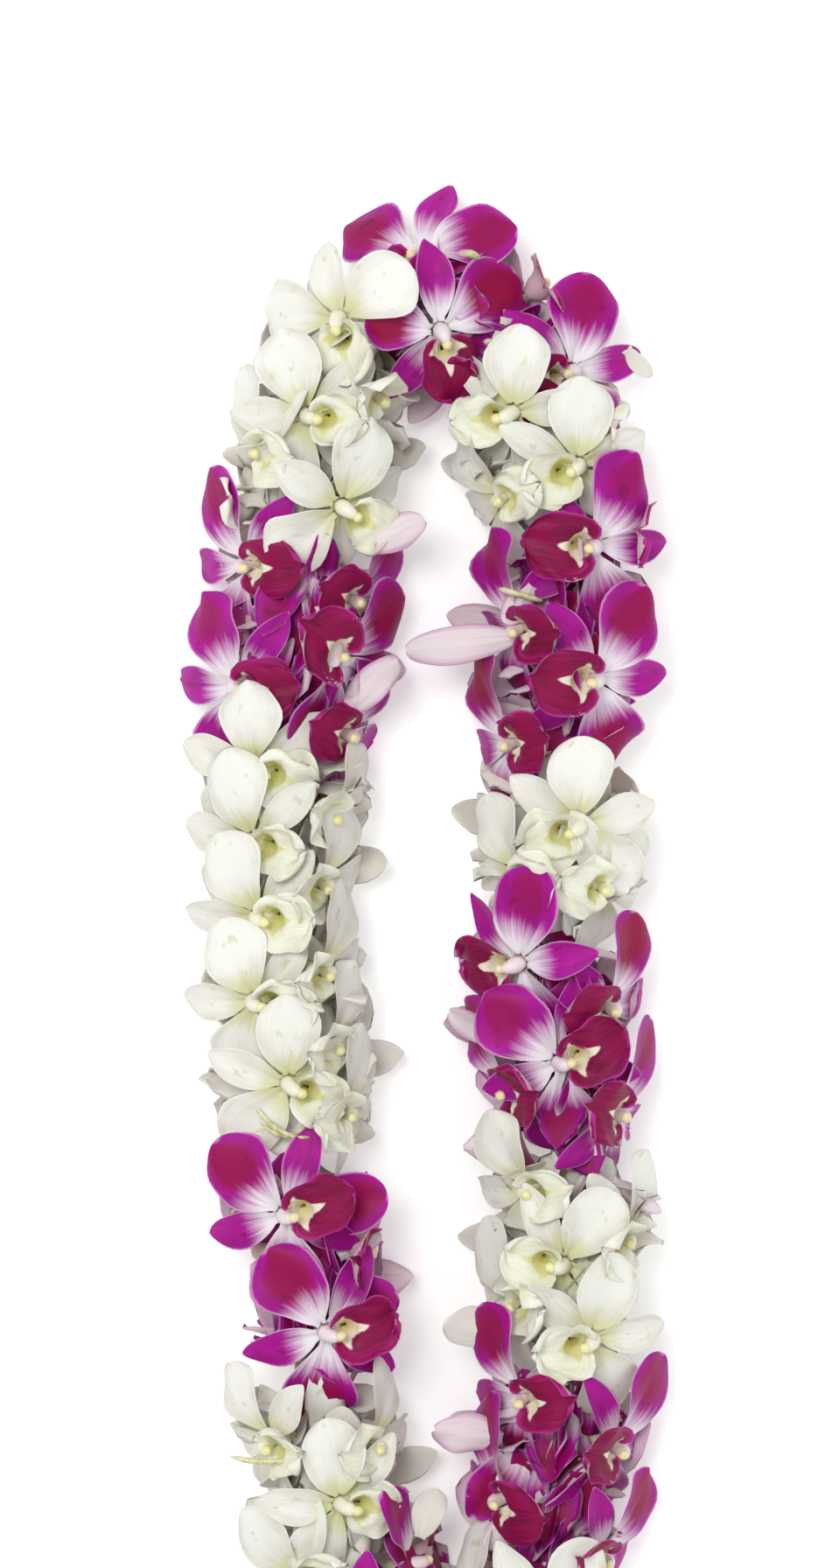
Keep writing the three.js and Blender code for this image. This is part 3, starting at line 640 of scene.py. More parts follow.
def petalTree():  # bends a flat closed blank into each petal and sepal of a bloom
    net = Shape("petalShape", bladeInputs)
    blades = net.onEachPoint(net.blank())
    t = net.attribute("along")
    v = net.attribute("across")
    width = net.attribute("width")
    lobes = net.attribute("lobes")
    seed = net.attribute("tint") * seedSpread
    notch = bladeForm["endNotch"] * net.bell(v, 0, bladeForm["notchWidth"])
    endLobes = net.sine(v * bladeForm["endLobes"] + seed) + notch
    length = net.attribute("length") * (1 + lobes * endLobes * t * (1 - t ** bladeForm["notchSharpness"]))
    riseFrom = net.attribute("riseFrom")
    bend = net.attribute("riseTo") - riseFrom
    rise = riseFrom + bend * t
    sinRise = net.sine(rise)
    cosRise = net.cosine(rise)
    radial = bladeForm["footRadius"] + length * (sinRise - net.sine(riseFrom)) / bend
    height = length * (net.cosine(riseFrom) - cosRise) / bend

    arch = net.maths("MAXIMUM", net.sine(t ** net.attribute("power") * math.pi), 0)
    outline = arch ** net.attribute("blunt") * (1 + lobes * net.sine(t * bladeForm["sideLobes"] + seed) * v)
    claw = (1 - t) * (1 - t) * bladeForm["footWidth"]
    half = net.maths("MAXIMUM", width * outline, claw) * 0.5

    curl = net.between("curlFrom", "curlTo", t)
    rolled = curl * v
    across = half * net.sine(rolled) / curl
    cupped = half * (1 - net.cosine(rolled)) / curl
    firstWave = v * v * net.sine(t * bladeForm["firstWave"] + seed)
    secondWave = net.sine(t * bladeForm["secondWave"] + seed * bladeForm["secondShift"])
    edgeWave = firstWave + v * v * v * bladeForm["secondShare"] * secondWave
    waves = width * net.attribute("wave") * edgeWave * t
    groove = width * net.attribute("crease") * net.bell(v, 0, bladeForm["grooveWidth"]) * (1 - t * t)
    lift = cupped + waves - groove
    twist = net.attribute("twist") * t
    cosTwist = net.cosine(twist)
    sinTwist = net.sine(twist)
    azimuth = net.attribute("azimuth")
    cosAzimuth = net.cosine(azimuth)
    sinAzimuth = net.sine(azimuth)

    def inFace(out, sideways, forward):  # from the blade's own directions
        x = out * cosAzimuth - sideways * sinAzimuth
        y = out * sinAzimuth + sideways * cosAzimuth
        return inBloom(net, x, y, forward)

    leftward = across * cosTwist - lift * sinTwist
    upward = across * sinTwist + lift * cosTwist
    middle = inFace(radial - upward * sinRise, leftward, height + upward * cosRise)
    tilt = rolled + twist
    faceUp = net.cosine(tilt)
    facing = inFace(-(faceUp * sinRise), -net.sine(tilt), faceUp * cosRise)
    return settle(net, blades, middle, facing, t)


# A lip's wall, flare and tongue as shares of its length, and the waves of its frilled edge in radians.
lipForm = {
    "footRadius": 1.2 * mm, "wallZone": (0.0, 0.32), "tongueFrom": 0.34, "flareZone": (0.28, 0.62),
    "depthZone": (0.0, 0.5), "openingZone": (0.36, 0.74),
    "slopeZone": (0.15, 0.5), "slope": 1.35, "tipSlope": 0.4,
    "frillAlong": 17, "frillAcross": 5, "rippleShare": 0.6, "rippleAcross": 9, "rippleShift": 1.3,
    "ridgeWidth": 0.14, "ridgeHeight": 1.3 * mm, "tipSharpness": 5, "tipRoundness": 0.55,
}


def lipTree():  # bends the same blank into a cup round the column, with a tongue
    net = Shape("lipShape", bladeInputs)
    blades = net.onEachPoint(net.blank())
    t = net.attribute("along")
    v = net.attribute("across")
    seed = net.attribute("tint") * seedSpread
    wall = net.smooth(t, *lipForm["wallZone"])
    reach = net.maths("MAXIMUM", (t - lipForm["tongueFrom"]) / (1 - lipForm["tongueFrom"]), 0)
    flare = net.smooth(t, *lipForm["flareZone"])
    frilled = net.attribute("frill")
    frillWave = net.sine(t * lipForm["frillAlong"] + v * lipForm["frillAcross"] + seed)
    rippleWave = net.sine(v * lipForm["rippleAcross"] + seed * lipForm["rippleShift"])
    frill = frilled * flare * v * v * frillWave
    ripple = frilled * lipForm["rippleShare"] * flare * rippleWave * t
    foot = lipForm["footRadius"]
    radius = foot + (net.attribute("throat") - foot) * wall + net.attribute("tongue") * reach + ripple
    ridge = net.bell(v, 0, lipForm["ridgeWidth"]) * lipForm["ridgeHeight"]
    keel = flare * (v * v * net.attribute("fold") - ridge)
    rising = net.attribute("depth") * net.smooth(t, *lipForm["depthZone"])
    height = rising - net.attribute("drop") * reach * reach + frill + keel
    closing = (1 - t ** lipForm["tipSharpness"]) ** lipForm["tipRoundness"]
    opening = 1 - net.smooth(t, *lipForm["openingZone"]) * net.attribute("fan")
    angle = v * net.attribute("span") * opening * closing
    along = net.cosine(angle)
    beside = net.sine(angle)
    middle = inBloom(net, radius * beside, -(radius * along), height)
    slope = lipForm["slope"] * (1 - net.smooth(t, *lipForm["slopeZone"])) - lipForm["tipSlope"] * reach
    inward = -net.sine(slope)
    facing = inBloom(net, inward * beside, -(inward * along), net.cosine(slope))
    return settle(net, blades, middle, facing, t)


rodForm = {"swelling": 0.06, "swells": 9, "swellShift": 30}


def rodTree():  # bends a closed blank along a curve through three points: columns, caps, ovaries and stalks
    net = Shape("rodShape", {"Segments": "Int", "Rings": "Int", "Fullness": "Float", "Material": "Material"})
    rods = net.onEachPoint(net.blank())
    t = net.attribute("along")
    start = net.direction("start")
    bend = net.direction("bend")
    end = net.direction("end")
    rest = 1 - t
    line = net.sum(net.scaled(start, rest * rest), net.scaled(bend, t * rest * 2))
    line = net.sum(line, net.scaled(end, t * t))
    first = net.scaled(net.vector("SUBTRACT", bend, start), rest)
    second = net.scaled(net.vector("SUBTRACT", end, bend), t)
    heading = net.vector("NORMALIZE", net.sum(first, second))
    sideways = net.vector("NORMALIZE", net.vector("CROSS_PRODUCT", heading, net.direction("axisY")))
    forward = net.vector("CROSS_PRODUCT", sideways, heading)
    fromMiddle = net.maths("ABSOLUTE", 2 * t - 1)
    closing = net.maths("SQRT", net.maths("MAXIMUM", 1 - fromMiddle ** net.given("Fullness"), 0))
    swell = net.sine(t * rodForm["swells"] + net.attribute("tint") * rodForm["swellShift"])
    radius = net.between("radiusFrom", "radiusTo", t) * closing * (1 + rodForm["swelling"] * swell)
    spread = net.sum(net.scaled(sideways, radius * net.attribute("across")),
                     net.scaled(forward, radius * net.attribute("side")))
    return net.close(net.moved(rods, net.sum(line, spread)))


strandInputs = {"Strands": "Int", "Ring radius": "Float", "Strand radius": "Float",
                "Turns per metre": "Float", "Step": "Float", "Sides": "Int", "Wobble": "Float",
                "Material": "Material"}
strandForm = {"wanderScale": 90.0, "wanderShift": (3, 7), "looseness": 0.4}


def strandTree():  # twists strands round a line: the pressed stems round the string, and the string's plies
    net = Shape("strandShape", strandInputs)
    line = net.node("GeometryNodeMeshToCurve", None, {"Mesh": net.given("Geometry")})
    line = net.node("GeometryNodeResampleCurve", {"mode": "LENGTH"},
                    {"Curve": line, "Length": net.given("Step")})
    copies = net.node("GeometryNodeDuplicateElements", {"domain": "SPLINE"},
                      {"Geometry": line, "Amount": net.given("Strands")})
    number = Wire(net, copies.socket.node.outputs["Duplicate Index"])
    share = number / net.given("Strands")
    travelled = net.node("GeometryNodeSplineParameter", None, None, "Length")
    shiftX, shiftZ = strandForm["wanderShift"]
    place = net.sum(net.node("GeometryNodeInputPosition"), net.combined(share * shiftX, 0.0, share * shiftZ))
    wander = (net.noise(place, strandForm["wanderScale"], 1.0) - 0.5) * net.given("Wobble")
    angle = share * math.tau + travelled * net.given("Turns per metre") * math.tau + wander
    heading = net.node("GeometryNodeInputTangent")
    outward = net.vector("NORMALIZE", net.vector("CROSS_PRODUCT", heading, (0.0, 0.0, 1.0)))
    above = net.vector("CROSS_PRODUCT", outward, heading)
    ringRadius = net.given("Ring radius") * (1 + wander * strandForm["looseness"])
    offset = net.sum(net.scaled(outward, net.cosine(angle) * ringRadius),
                     net.scaled(above, net.sine(angle) * ringRadius))
    copies = net.store(copies, "tint", share)
    strands = net.node("GeometryNodeSetPosition", None, {"Geometry": copies, "Offset": offset})
    circle = net.node("GeometryNodeCurvePrimitiveCircle", None,
                      {"Resolution": net.given("Sides"), "Radius": net.given("Strand radius")})
    sockets = {"Curve": strands, "Profile Curve": circle, "Fill Caps": True}
    tubes = net.node("GeometryNodeCurveToMesh", None, sockets)
    return net.close(net.node("GeometryNodeRealizeInstances", None, {"Geometry": tubes}))


def grown(name, seedMesh, tree, **given):  # runs a tree on a seed mesh and keeps the result as a plain mesh
    seedling = bpy.data.objects.new(name, seedMesh)
    bpy.context.scene.collection.objects.link(seedling)
    growth = seedling.modifiers.new("growth", "NODES")
    growth.node_group = tree
    names = {item.name: item.identifier for item in tree.interface.items_tree if item.in_out == "INPUT"}
    for key, value in given.items():
        growth[names[key.replace("_", " ")]] = value
    plain = bpy.data.meshes.new_from_object(seedling.evaluated_get(bpy.context.evaluated_depsgraph_get()))
    seedling.modifiers.clear()
    seedling.data = plain
    return seedling


def seedPoints(name, rows):  # one vertex a row, with the row's values as attributes
    mesh = bpy.data.meshes.new(name)
    mesh.from_pydata([(0, 0, 0)] * len(rows), [], [])
    for key, first in rows[0].items():
        isVector = isinstance(first, Vector)
        layer = mesh.attributes.new(key, "FLOAT_VECTOR" if isVector else "FLOAT", "POINT")
        if isVector:
            layer.data.foreach_set("vector", [c for row in rows for c in row[key]])
        else:
            layer.data.foreach_set("value", [row[key] for row in rows])
    return mesh


def seedLine(name, lines):  # open lines of points as edges
    mesh = bpy.data.meshes.new(name)
    points = [point for line in lines for point in line]
    edges = []
    first = 0
    for line in lines:
        edges += [(first + k, first + k + 1) for k in range(len(line) - 1)]
        first += len(line)
    mesh.from_pydata(points, edges, [])
    return mesh


def joined(name, parts):  # several pieces as one
    bpy.ops.object.select_all(action="DESELECT")
    for part in parts:
        part.select_set(True)
    bpy.context.view_layer.objects.active = parts[0]
    bpy.ops.object.join()
    parts[0].name = name
    parts[0].data.name = name
    return parts[0]


lipAzimuth = 270
# The organs of a bloom: azimuth round the face, shape, and between which angles round the string it is there.
organPlan = (
    (20, "petal", -360, 360), (90, "dorsal", -360, 360), (160, "petal", -360, 360),
    (222, "lateral", -41, 82), (lipAzimuth, "lip", -95, 95), (318, "lateral", -41, 82),
)
# Organs that grew smaller, as a share of their size, by bunch, bloom and azimuth.
stunted = {
    (0, 0, 270): 0.7, (0, 1, 160): 0.7, (0, 3, 270): 0.55, (1, 0, 318): 0.6, (5, 2, 160): 0.7,
    (5, 3, 160): 0.75, (5, 3, 270): 0.5, (11, 0, 222): 0.6, (11, 1, 222): 0.7, (13, 1, 222): 0.6,
    (14, 0, 20): 0.7,
}
# Sizes of each organ in mm, with the rise of its midline and the curl of its section at base and tip.
flowers = {
    "purple": {
        "petal": {"length": 31, "width": 25, "rise": (16, -26), "curl": (0.8, -0.5), "broadest": 0.64,
                  "blunt": 0.52, "wave": 0.045, "crease": 0.05, "twist": 12, "lobes": 0.07},
        "dorsal": {"length": 27, "width": 13, "rise": (14, -34), "curl": (0.6, 0.25), "broadest": 0.5,
                   "blunt": 0.75, "wave": 0.03, "crease": 0.06, "twist": 14, "lobes": 0.03},
        "lateral": {"length": 27, "width": 12, "rise": (-6, -30), "curl": (0.5, 0.3), "broadest": 0.48,
                    "blunt": 0.75, "wave": 0.03, "crease": 0.06, "twist": 16, "lobes": 0.03},
    },
    "white": {
        "petal": {"length": 27, "width": 22, "rise": (18, -28), "curl": (0.7, -0.5), "broadest": 0.6,
                  "blunt": 0.55, "wave": 0.04, "crease": 0.04, "twist": 12, "lobes": 0.06},
        "dorsal": {"length": 25, "width": 13, "rise": (16, -38), "curl": (0.6, 0.3), "broadest": 0.5,
                   "blunt": 0.7, "wave": 0.03, "crease": 0.06, "twist": 12, "lobes": 0.03},
        "lateral": {"length": 25, "width": 12, "rise": (-6, -30), "curl": (0.5, 0.3), "broadest": 0.5,
                    "blunt": 0.7, "wave": 0.03, "crease": 0.06, "twist": 14, "lobes": 0.03},
    },
}


def organRows(colour, place, index, growth):
    middle, axes = bloomFrame(place, index)
    shown = [(azimuth, shape) for azimuth, shape, least, most in organPlan if least < place[1] < most]
    rows = []
    for k, (azimuth, shape) in enumerate(shown):
        if shape == "lip":
            continue
        size = flowers[colour][shape]
        scale = growth.get(azimuth, 1) * mm
        broadest = size["broadest"] + vary(index, "broadest", k)
        rows.append({
            **faceFields(middle, axes),
            "azimuth": math.radians(azimuth + vary(index, "azimuth", k)),
            "length": size["length"] * scale * (1 + vary(index, "length", k)),
            "width": size["width"] * scale * (1 + vary(index, "width", k)),
            "riseFrom": math.radians(size["rise"][0] + vary(index, "riseFrom", k)),
            "riseTo": math.radians(size["rise"][1] + vary(index, "riseTo", k)),
            "curlFrom": size["curl"][0] * (1 + vary(index, "curlFrom", k)),
            "curlTo": size["curl"][1] + vary(index, "curlTo", k),
            "power": math.log(0.5) / math.log(broadest),
            "blunt": size["blunt"], "crease": size["crease"],
            "wave": size["wave"] * (1 + vary(index, "wave", k)),
            "lobes": size["lobes"] * (1 + vary(index, "lobes", k)),
            "twist": math.radians(size["twist"]) * vary(index, "twist", k),
            "organ": float(organCodes[shape]), "tint": 0.5 + vary(index, "tint", k),
            "mood": 0.5 + vary(index, "mood"),
        })
    return rows


# A lip is a cup round the column that opens into a tongue. Its sizes are in mm from the throat's middle.
lips = {
    "purple": {"throat": 4.4, "tongue": 13.5, "depth": 7.0, "drop": 4.5, "span": 150, "fan": 0.58,
               "frill": 1.0, "fold": 2.8},
    "white": {"throat": 4.2, "tongue": 9.5, "depth": 6.5, "drop": 2.5, "span": 155, "fan": 0.5,
              "frill": 2.3, "fold": 2.8},
}
throatPlace = Vector((0, -5.6, -1.5))  # of the throat's middle at its floor, in a bloom's frame


def lipRow(colour, place, index, growth):
    middle, axes = bloomFrame(place, index)
    size = lips[colour]
    scale = mm * (1 + vary(index, "lipSize")) * growth.get(lipAzimuth, 1)
    return {
        **faceFields(middle + axes @ (throatPlace * mm), axes),
        "throat": size["throat"] * scale, "tongue": size["tongue"] * scale, "depth": size["depth"] * scale,
        "drop": (size["drop"] + vary(index, "lipDrop")) * scale, "span": math.radians(size["span"]),
        "fan": size["fan"], "frill": size["frill"] * (1 + vary(index, "lipFrill")) * mm,
        "fold": (size["fold"] + vary(index, "lipFold")) * scale, "organ": float(organCodes["lip"]),
        "tint": 0.5 + vary(index, "lipTint"), "mood": 0.5 + vary(index, "mood"),
    }


# Petals and sepals that are crushed in between the blooms, in mm and degrees. Those inside show their pale
# backs, and those on top, from topFrom of the way up, their fronts. At a bunch's ends all lean inwards.
crushed = {
    "pitch": 8.5, "around": 8, "foot": 4.2, "rise": (-8, -30), "topFrom": 0.35, "endRings": 2, "seeds": 211,
    "wave": 0.08,
    "blade": {"curlFrom": 0.7, "curlTo": 0.3, "power": 0.9, "blunt": 0.65, "lobes": 0.05, "crease": 0.08},
    "inside": {"purple": {"length": 17, "width": 9.5, "slant": 44},
               "white": {"length": 20, "width": 16, "slant": 24}},
    "top": {"purple": {"length": 24, "width": 17, "slant": 60},
            "white": {"length": 22, "width": 18, "slant": 60}},
}


def crushedRow(centre, heading, facing, length, width, organ, seed):
    riseFrom, riseTo = crushed["rise"]
    return {
        "centre": centre, "axisX": heading, "axisY": facing.cross(heading), "axisZ": facing, "azimuth": 0.0,
        "length": length * mm, "width": width * mm,
        "riseFrom": math.radians(riseFrom), "riseTo": math.radians(riseTo), **crushed["blade"],
        "wave": crushed["wave"] * (1 + vary(seed, "crushedWave")),
        "twist": math.radians(vary(seed, "crushedTwist")), "organ": float(organCodes[organ]),
        "tint": 0.5 + vary(seed, "crushedTint"), "mood": 0.5 + vary(seed, "crushedMood"),
    }


def crushedRows(number):
    colour = bunches[number][1]
    start, end = bunchSpan(number)
    count = round((end - start) / crushed["pitch"])
    around = crushed["around"]
    rows = []
    for k in range(count):
        for m in range(around):
            seed = number * crushed["seeds"] + k * around + m
            share = (k + 0.5 + vary(seed, "crushedPlace")) / count
            at, along, outward = station(start + (end - start) * share)
            turn = math.tau * (m + 0.5 * (k % 2) + vary(seed, "crushedTurn")) / around
            radial = outward * math.sin(turn) + up * math.cos(turn)
            onTop = radial.z > crushed["topFrom"]
            form = crushed["top" if onTop else "inside"][colour]
            slant = math.radians(form["slant"] + vary(seed, "crushedSlant"))
            sense = (-1) ** seed
            if k < crushed["endRings"]:
                sense = 1
            elif k >= count - crushed["endRings"]:
                sense = -1
            swing = vary(seed, "crushedSwing") * radial.cross(along)
            heading = (radial * math.cos(slant) + along * math.sin(slant) * sense + swing).normalized()
            facing = (heading * radial.dot(heading) - radial).normalized() * (-1 if onTop else 1)
            length = form["length"] * (1 + vary(seed, "crushedLength"))
            width = form["width"] * (1 + vary(seed, "crushedWidth"))
            foot = at + radial * crushed["foot"] * mm
            organ = "petal" if onTop else "lateral"
            rows.append(crushedRow(foot, heading, facing, length, width, organ, seed))
    return rows


# Sepals whose backs stick out of a bunch, as foot and tip in mm from the string line's own middle, and width.
# A petal among them shows its front.
looseSepals = {
    1: (((27, 209, 38), (21, 182, 41), 9),),
    2: (((-24, 133, 31), (-1, 142, 35), 12), ((-29, 79, 29), (-9, 97, 34), 12),
        ((-33, 118, 40), (-28, 98, 42), 8)),
    4: (((-34, -40, 41), (-27, -55, 40), 9),),
    5: (((-37, -76, 27), (-13, -71, 34), 21, "petal"), ((-32, -110, 27), (-10, -103, 33), 20, "petal"),
        ((-29, -92, 32), (-15, -84, 31), 8)),
    8: (((-2, -182, 34), (4, -166, 33), 11),),
    9: (((40, -164, 35), (21, -181, 36), 11), ((28, -149, 30), (6, -146, 32), 14),
        ((33, -150, 26), (17, -172, 29), 18, "petal")),
    10: (((31, -116, 29), (8, -113, 30), 14),),
    11: (((31, -58, 28), (15, -56, 27), 10), ((27, -25, 30), (10, -14, 32), 9),
         ((58, -65, 36), (74, -76, 30), 6)),
    13: (((33, 106, 34), (-4, 102, 34), 13), ((36, 124, 38), (27, 112, 38), 9)),
    14: (((63, 199, 33), (71, 190, 30), 6),),
}
looseBlade = {"riseFrom": math.radians(22), "riseTo": math.radians(-26), "power": 1.1, "blunt": 0.5}
# Bare stalks between the blooms, as start, bend and end in mm from the string line's middle, and radius.
looseStems = {
    0: (((11, 226, 41), (15, 227, 43), (18, 225, 38), 1.4),
        ((19, 198, 43), (22, 199, 44), (26, 197, 41), 1.2)),
    6: (((-54, -40, 38), (-47, -54, 41), (-34, -52, 40), 0.9),
        ((-51, -48, 38), (-42, -56, 40), (-36, -47, 40), 0.8),
        ((-61, -153, 38), (-50, -156, 41), (-39, -153, 40), 1.0)),
    7: (((-22, -144, 36), (-23, -150, 43), (-22, -157, 36), 1.5),),
    9: (((36, -128, 38), (40, -131, 41), (46, -130, 38), 1.0),),
    12: (((24, 121, 37), (30, 119, 42), (38, 117, 38), 1.1), ((44, 62, 39), (52, 56, 41), (56, 48, 38), 0.9)),
}


def looseRow(foot, tip, width, organ="lateral"):
    start = inLei(foot)
    end = inLei(tip)
    heading = (end - start).normalized()
    facing = (heading * up.dot(heading) - up).normalized() * (-1 if organ == "petal" else 1)
    row = crushedRow(start, heading, facing, (end - start).length / mm, width, organ, sum(foot))
    row.update(looseBlade)
    return row


# Rods of a bloom in mm, in the frame of its face: start, bend and end of the line, radii, and what it is.
heartRods = (
    ((0, 0.6, -1), (0, 0.9, 4.5), (0, -3.6, 6.2), 2.9, 2.0, "column"),
    ((0, -2.6, 6.0), (0, -3.9, 6.7), (0, -4.9, 5.2), 1.8, 1.5, "cap"),
    ((0, -0.5, 0.5), (0, -3.0, -3.0), (0, -5.0, -6.0), 3.0, 1.6, "chin"),  # where the lateral sepals meet
)
ovaryRod = {"radii": (3.7, 1.5), "sag": 3 * mm, "topUnder": 0.5 * mm}
stemTaper = 0.8


def rodRow(line, radii, kind, across, tint):
    start, bend, end = line
    return {"start": start, "bend": bend, "end": end, "axisY": across.copy(), "radiusFrom": radii[0] * mm,
            "radiusTo": radii[1] * mm, "organ": float(rodCodes[kind]), "tint": tint}


def rodRows(place, index, shapes):
    middle, axes = bloomFrame(place, index)
    tint = 0.5 + vary(index, "rodTint")
    across = axes.col[0]
    rows = []
    for *points, radiusFrom, radiusTo, kind in shapes:
        line = [middle + axes @ (Vector(point) * mm) for point in points]
        rows.append(rodRow(line, (radiusFrom, radiusTo), kind, across, tint))
    at = station(place[0])[0]
    foot = at + (middle - at).normalized() * lei["ovaryEnd"] * mm
    top = middle - axes.col[2] * ovaryRod["topUnder"]
    bow = (top + foot) / 2 + axes.col[1] * ovaryRod["sag"] * vary(index, "ovaryBow")
    rows.append(rodRow((top, bow, foot), ovaryRod["radii"], "stalk", across, tint))
    return rows


def stemRow(start, bend, end, radius):
    line = [inLei(point) for point in (start, bend, end)]
    return rodRow(line, (radius, radius * stemTaper), "stalk", up, 0.5 + vary(sum(end), "stemTint"))


# Segments round a blade, rings along it and its thickness.
bladeGrain = {
    "front": {"Segments": 24, "Rings": 18, "Thickness": 0.55 * mm},
    "under": {"Segments": 14, "Rings": 10, "Thickness": 0.6 * mm},
    "lip": {"Segments": 36, "Rings": 24, "Thickness": 0.55 * mm},
    "crushed": {"Segments": 8, "Rings": 7, "Thickness": 0.85 * mm},
}
unevenness = 1.6 * mm
rodGrain = {"Segments": 10, "Rings": 8, "Fullness": 4.0}
coreMake = {"Strands": 9, "Ring_radius": 3.9 * mm, "Strand_radius": 1.6 * mm, "Turns_per_metre": 6.0,
            "Step": 4 * mm, "Sides": 8, "Wobble": 0.9}


def blades(name, rows, tree, grain, colour):
    return grown(name + "_" + grain, seedPoints("organs", rows), trees[tree], Unevenness=unevenness,
                 Material=finishes[colour + "Petal"], **bladeGrain[grain])


def pressedStems(name, number):  # round the string, clear of the next bunch or of the knot
    edges = bunchSpan(number)
    start, end = edges
    rooms = [lei["knotRoom"] if lei["knotAt"] == edge else lei["bunchGap"] for edge in edges]
    line = lineBetween(start + rooms[0] / 2, end - rooms[1] / 2)
    return grown(name + "_stems", seedLine("core", [line]), trees["strand"],
                 Material=finishes["stems"], **coreMake)


def bunch(number, index):
    name, colour, _, blooms = bunches[number]
    under = undersideBlooms(number)
    frontRows = []
    underRows = []
    lipRows = []
    rods = []
    for k, place in enumerate(blooms, index):
        growth = {at: share for (*bloom, at), share in stunted.items() if bloom == [number, k - index]}
        frontRows += organRows(colour, place, k, growth)
        lipRows.append(lipRow(colour, place, k, growth))
        rods += rodRows(place, k, heartRods)
    for k, place in enumerate(under, index + len(blooms)):
        underRows += organRows(colour, place, k, {})
        rods += rodRows(place, k, ())
    frontRows += [looseRow(*sepal) for sepal in looseSepals.get(number, ())]
    rods += [stemRow(*stem) for stem in looseStems.get(number, ())]
    piece = joined(name + "_blooms", [
        blades(name, frontRows, "petal", "front", colour),
        blades(name, underRows, "petal", "under", colour),
        blades(name, lipRows, "lip", "lip", colour),
        blades(name, crushedRows(number), "petal", "crushed", colour),
        grown(name + "_hearts", seedPoints("rods", rods), trees["rod"], Material=finishes[colour + "Stalk"],
              **rodGrain),
        pressedStems(name, number),
    ])
    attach(piece, "root")
    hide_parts(name)
    return index + len(blooms) + len(under)


threadMake = {"Strands": 3, "Ring_radius": 0.42 * mm, "Strand_radius": 0.4 * mm, "Turns_per_metre": 190.0,
              "Step": 0.9 * mm, "Sides": 6, "Wobble": 0.0}
knotMake = {
    "size": 1.25 * mm, "height": 1.1 * mm, "steps": 48,
    "tail": 5 * mm, "tailLean": (0.5, -0.8, -0.35),  # along the string, away from the hole, and up
    "tailSag": 1.5 * mm, "tailSteps": 4,
}


def knotLines():  # a trefoil knot and its two tails
    at, along, outward = station(lei["knotAt"])
    trefoil = []
    for k in range(knotMake["steps"] + 1):
        turn = math.tau * k / knotMake["steps"]
        forth = math.sin(turn) + 2 * math.sin(2 * turn)
        beside = math.cos(turn) - 2 * math.cos(2 * turn)
        rising = -math.sin(3 * turn)
        level = (along * forth + outward * beside) * knotMake["size"] / 2
        trefoil.append(at + level + up * rising * knotMake["height"] / 2)
    tails = []
    forward, sideways, upward = knotMake["tailLean"]
    for sense in (-1, 1):
        lean = (along * forward * sense + outward * sideways + up * upward).normalized()
        shares = [k / knotMake["tailSteps"] for k in range(knotMake["tailSteps"] + 1)]
        tails.append([at + lean * knotMake["tail"] * share - up * share * share * knotMake["tailSag"]
                      for share in shares])
    return [trefoil, *tails]


def string():
    loop = lineBetween(lei["knotAt"], lei["knotAt"] + loopLength)
    thread = grown("string_thread", seedLine("thread", [loop, *knotLines()]), trees["strand"],
                   Material=finishes["thread"], **threadMake)
    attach(thread, "root")
    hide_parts("string")


finishes = {"stems": coreMaterial(), "thread": threadMaterial()}
for colour in ("purple", "white"):
    finishes[colour + "Petal"] = petalMaterial(colour)
    finishes[colour + "Stalk"] = rodMaterial(colour)
print("materials")

trees = {"petal": petalTree(), "lip": lipTree(), "rod": rodTree(), "strand": strandTree()}
print("geometry trees")

bloomCount = 0
for number in range(len(bunches)):
    bloomCount = bunch(number, bloomCount)
print("bunches with", bloomCount, "blooms")

string()
print("string")

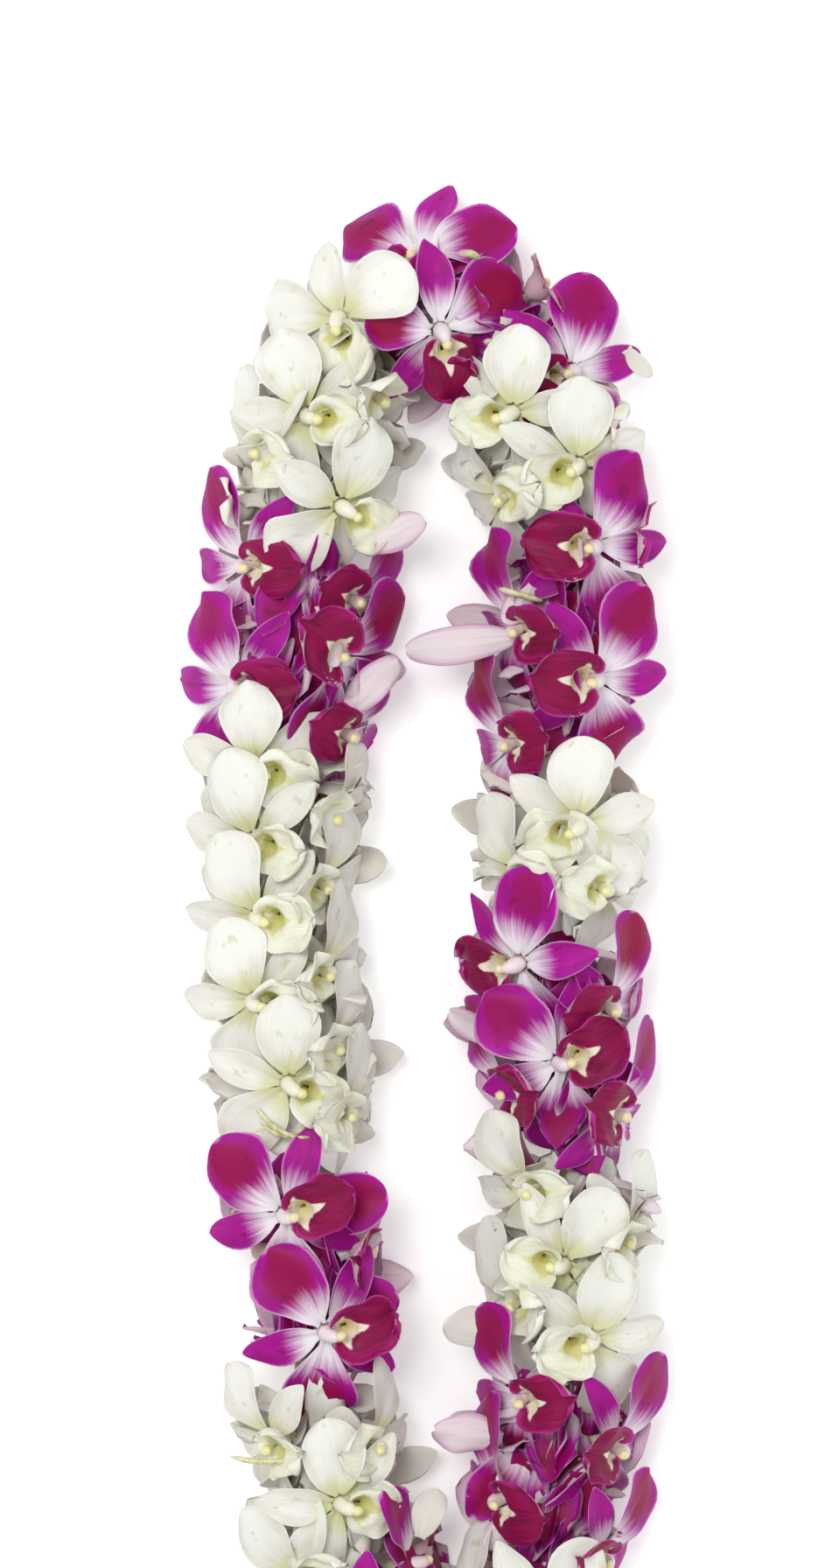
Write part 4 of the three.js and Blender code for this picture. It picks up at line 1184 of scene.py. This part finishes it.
studio = {
    "floorSize": 6.0, "floorTone": rgb(250, 250, 249), "floorShade": rgb(247, 247, 246), "floorGlow": 0.3,
    "worldTone": (0.97, 0.985, 1.0, 1), "worldStrength": 0.6,
    # name, place, size and power of each soft light, all turned to the lei's middle
    "lights": (("overhead", (-0.5, 0.5, 1.9), 0.8, 19.0), ("fill", (0.9, -0.7, 1.5), 1.2, 5.0)),
    "frameHeight": 0.4978,  # of what the camera shows, across the lei's middle
    "frameCentre": (-0.0054, 0.0597),
    "lens": 100.0, "sensor": 36.0,
}


def makeFloor():
    half = studio["floorSize"] / 2
    corners = [(-half, -half, 0), (half, -half, 0), (half, half, 0), (-half, half, 0)]
    mesh = bpy.data.meshes.new("floor")
    mesh.from_pydata(corners, [], [(0, 1, 2, 3)])
    floor = bpy.data.objects.new("floor", mesh)
    bpy.context.scene.collection.objects.link(floor)
    paper = Finish("paleFloor", studio, Roughness=0.9, Specular_IOR_Level=0.1,
                   Emission_Strength=studio["floorGlow"])
    paper.shader.inputs["Emission Color"].default_value = studio["floorTone"]
    grain = paper.noise(paper.place(), 3.0, 2.0)
    paper.feed("Base Color", paper.painted("floorTone", (grain, "floorShade")))
    mesh.materials.append(paper.material)


def makeLights(middle):
    world = bpy.data.worlds.new("studioWorld")
    world.use_nodes = True
    backdrop = world.node_tree.nodes["Background"]
    backdrop.inputs["Color"].default_value = studio["worldTone"]
    backdrop.inputs["Strength"].default_value = studio["worldStrength"]
    bpy.context.scene.world = world
    for name, place, size, power in studio["lights"]:
        lamp = bpy.data.lights.new(name, "AREA")
        lamp.size = size
        lamp.energy = power
        holder = bpy.data.objects.new(name, lamp)
        holder.location = place
        holder.rotation_euler = (middle - Vector(place)).to_track_quat("-Z", "Y").to_euler()
        bpy.context.scene.collection.objects.link(holder)


def makeCamera(middle):  # looks straight down
    camera = bpy.data.cameras.new("overheadCamera")
    camera.lens = studio["lens"]
    camera.sensor_width = studio["sensor"]
    eye = bpy.data.objects.new("overheadCamera", camera)
    distance = studio["frameHeight"] * studio["lens"] / studio["sensor"]
    eye.location = (*studio["frameCentre"], middle.z + distance)
    bpy.context.scene.collection.objects.link(eye)
    bpy.context.scene.camera = eye
    bpy.context.scene.view_settings.view_transform = "Standard"


lowest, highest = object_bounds()
makeFloor()
makeLights((lowest + highest) / 2)
makeCamera((lowest + highest) / 2)
print("studio")
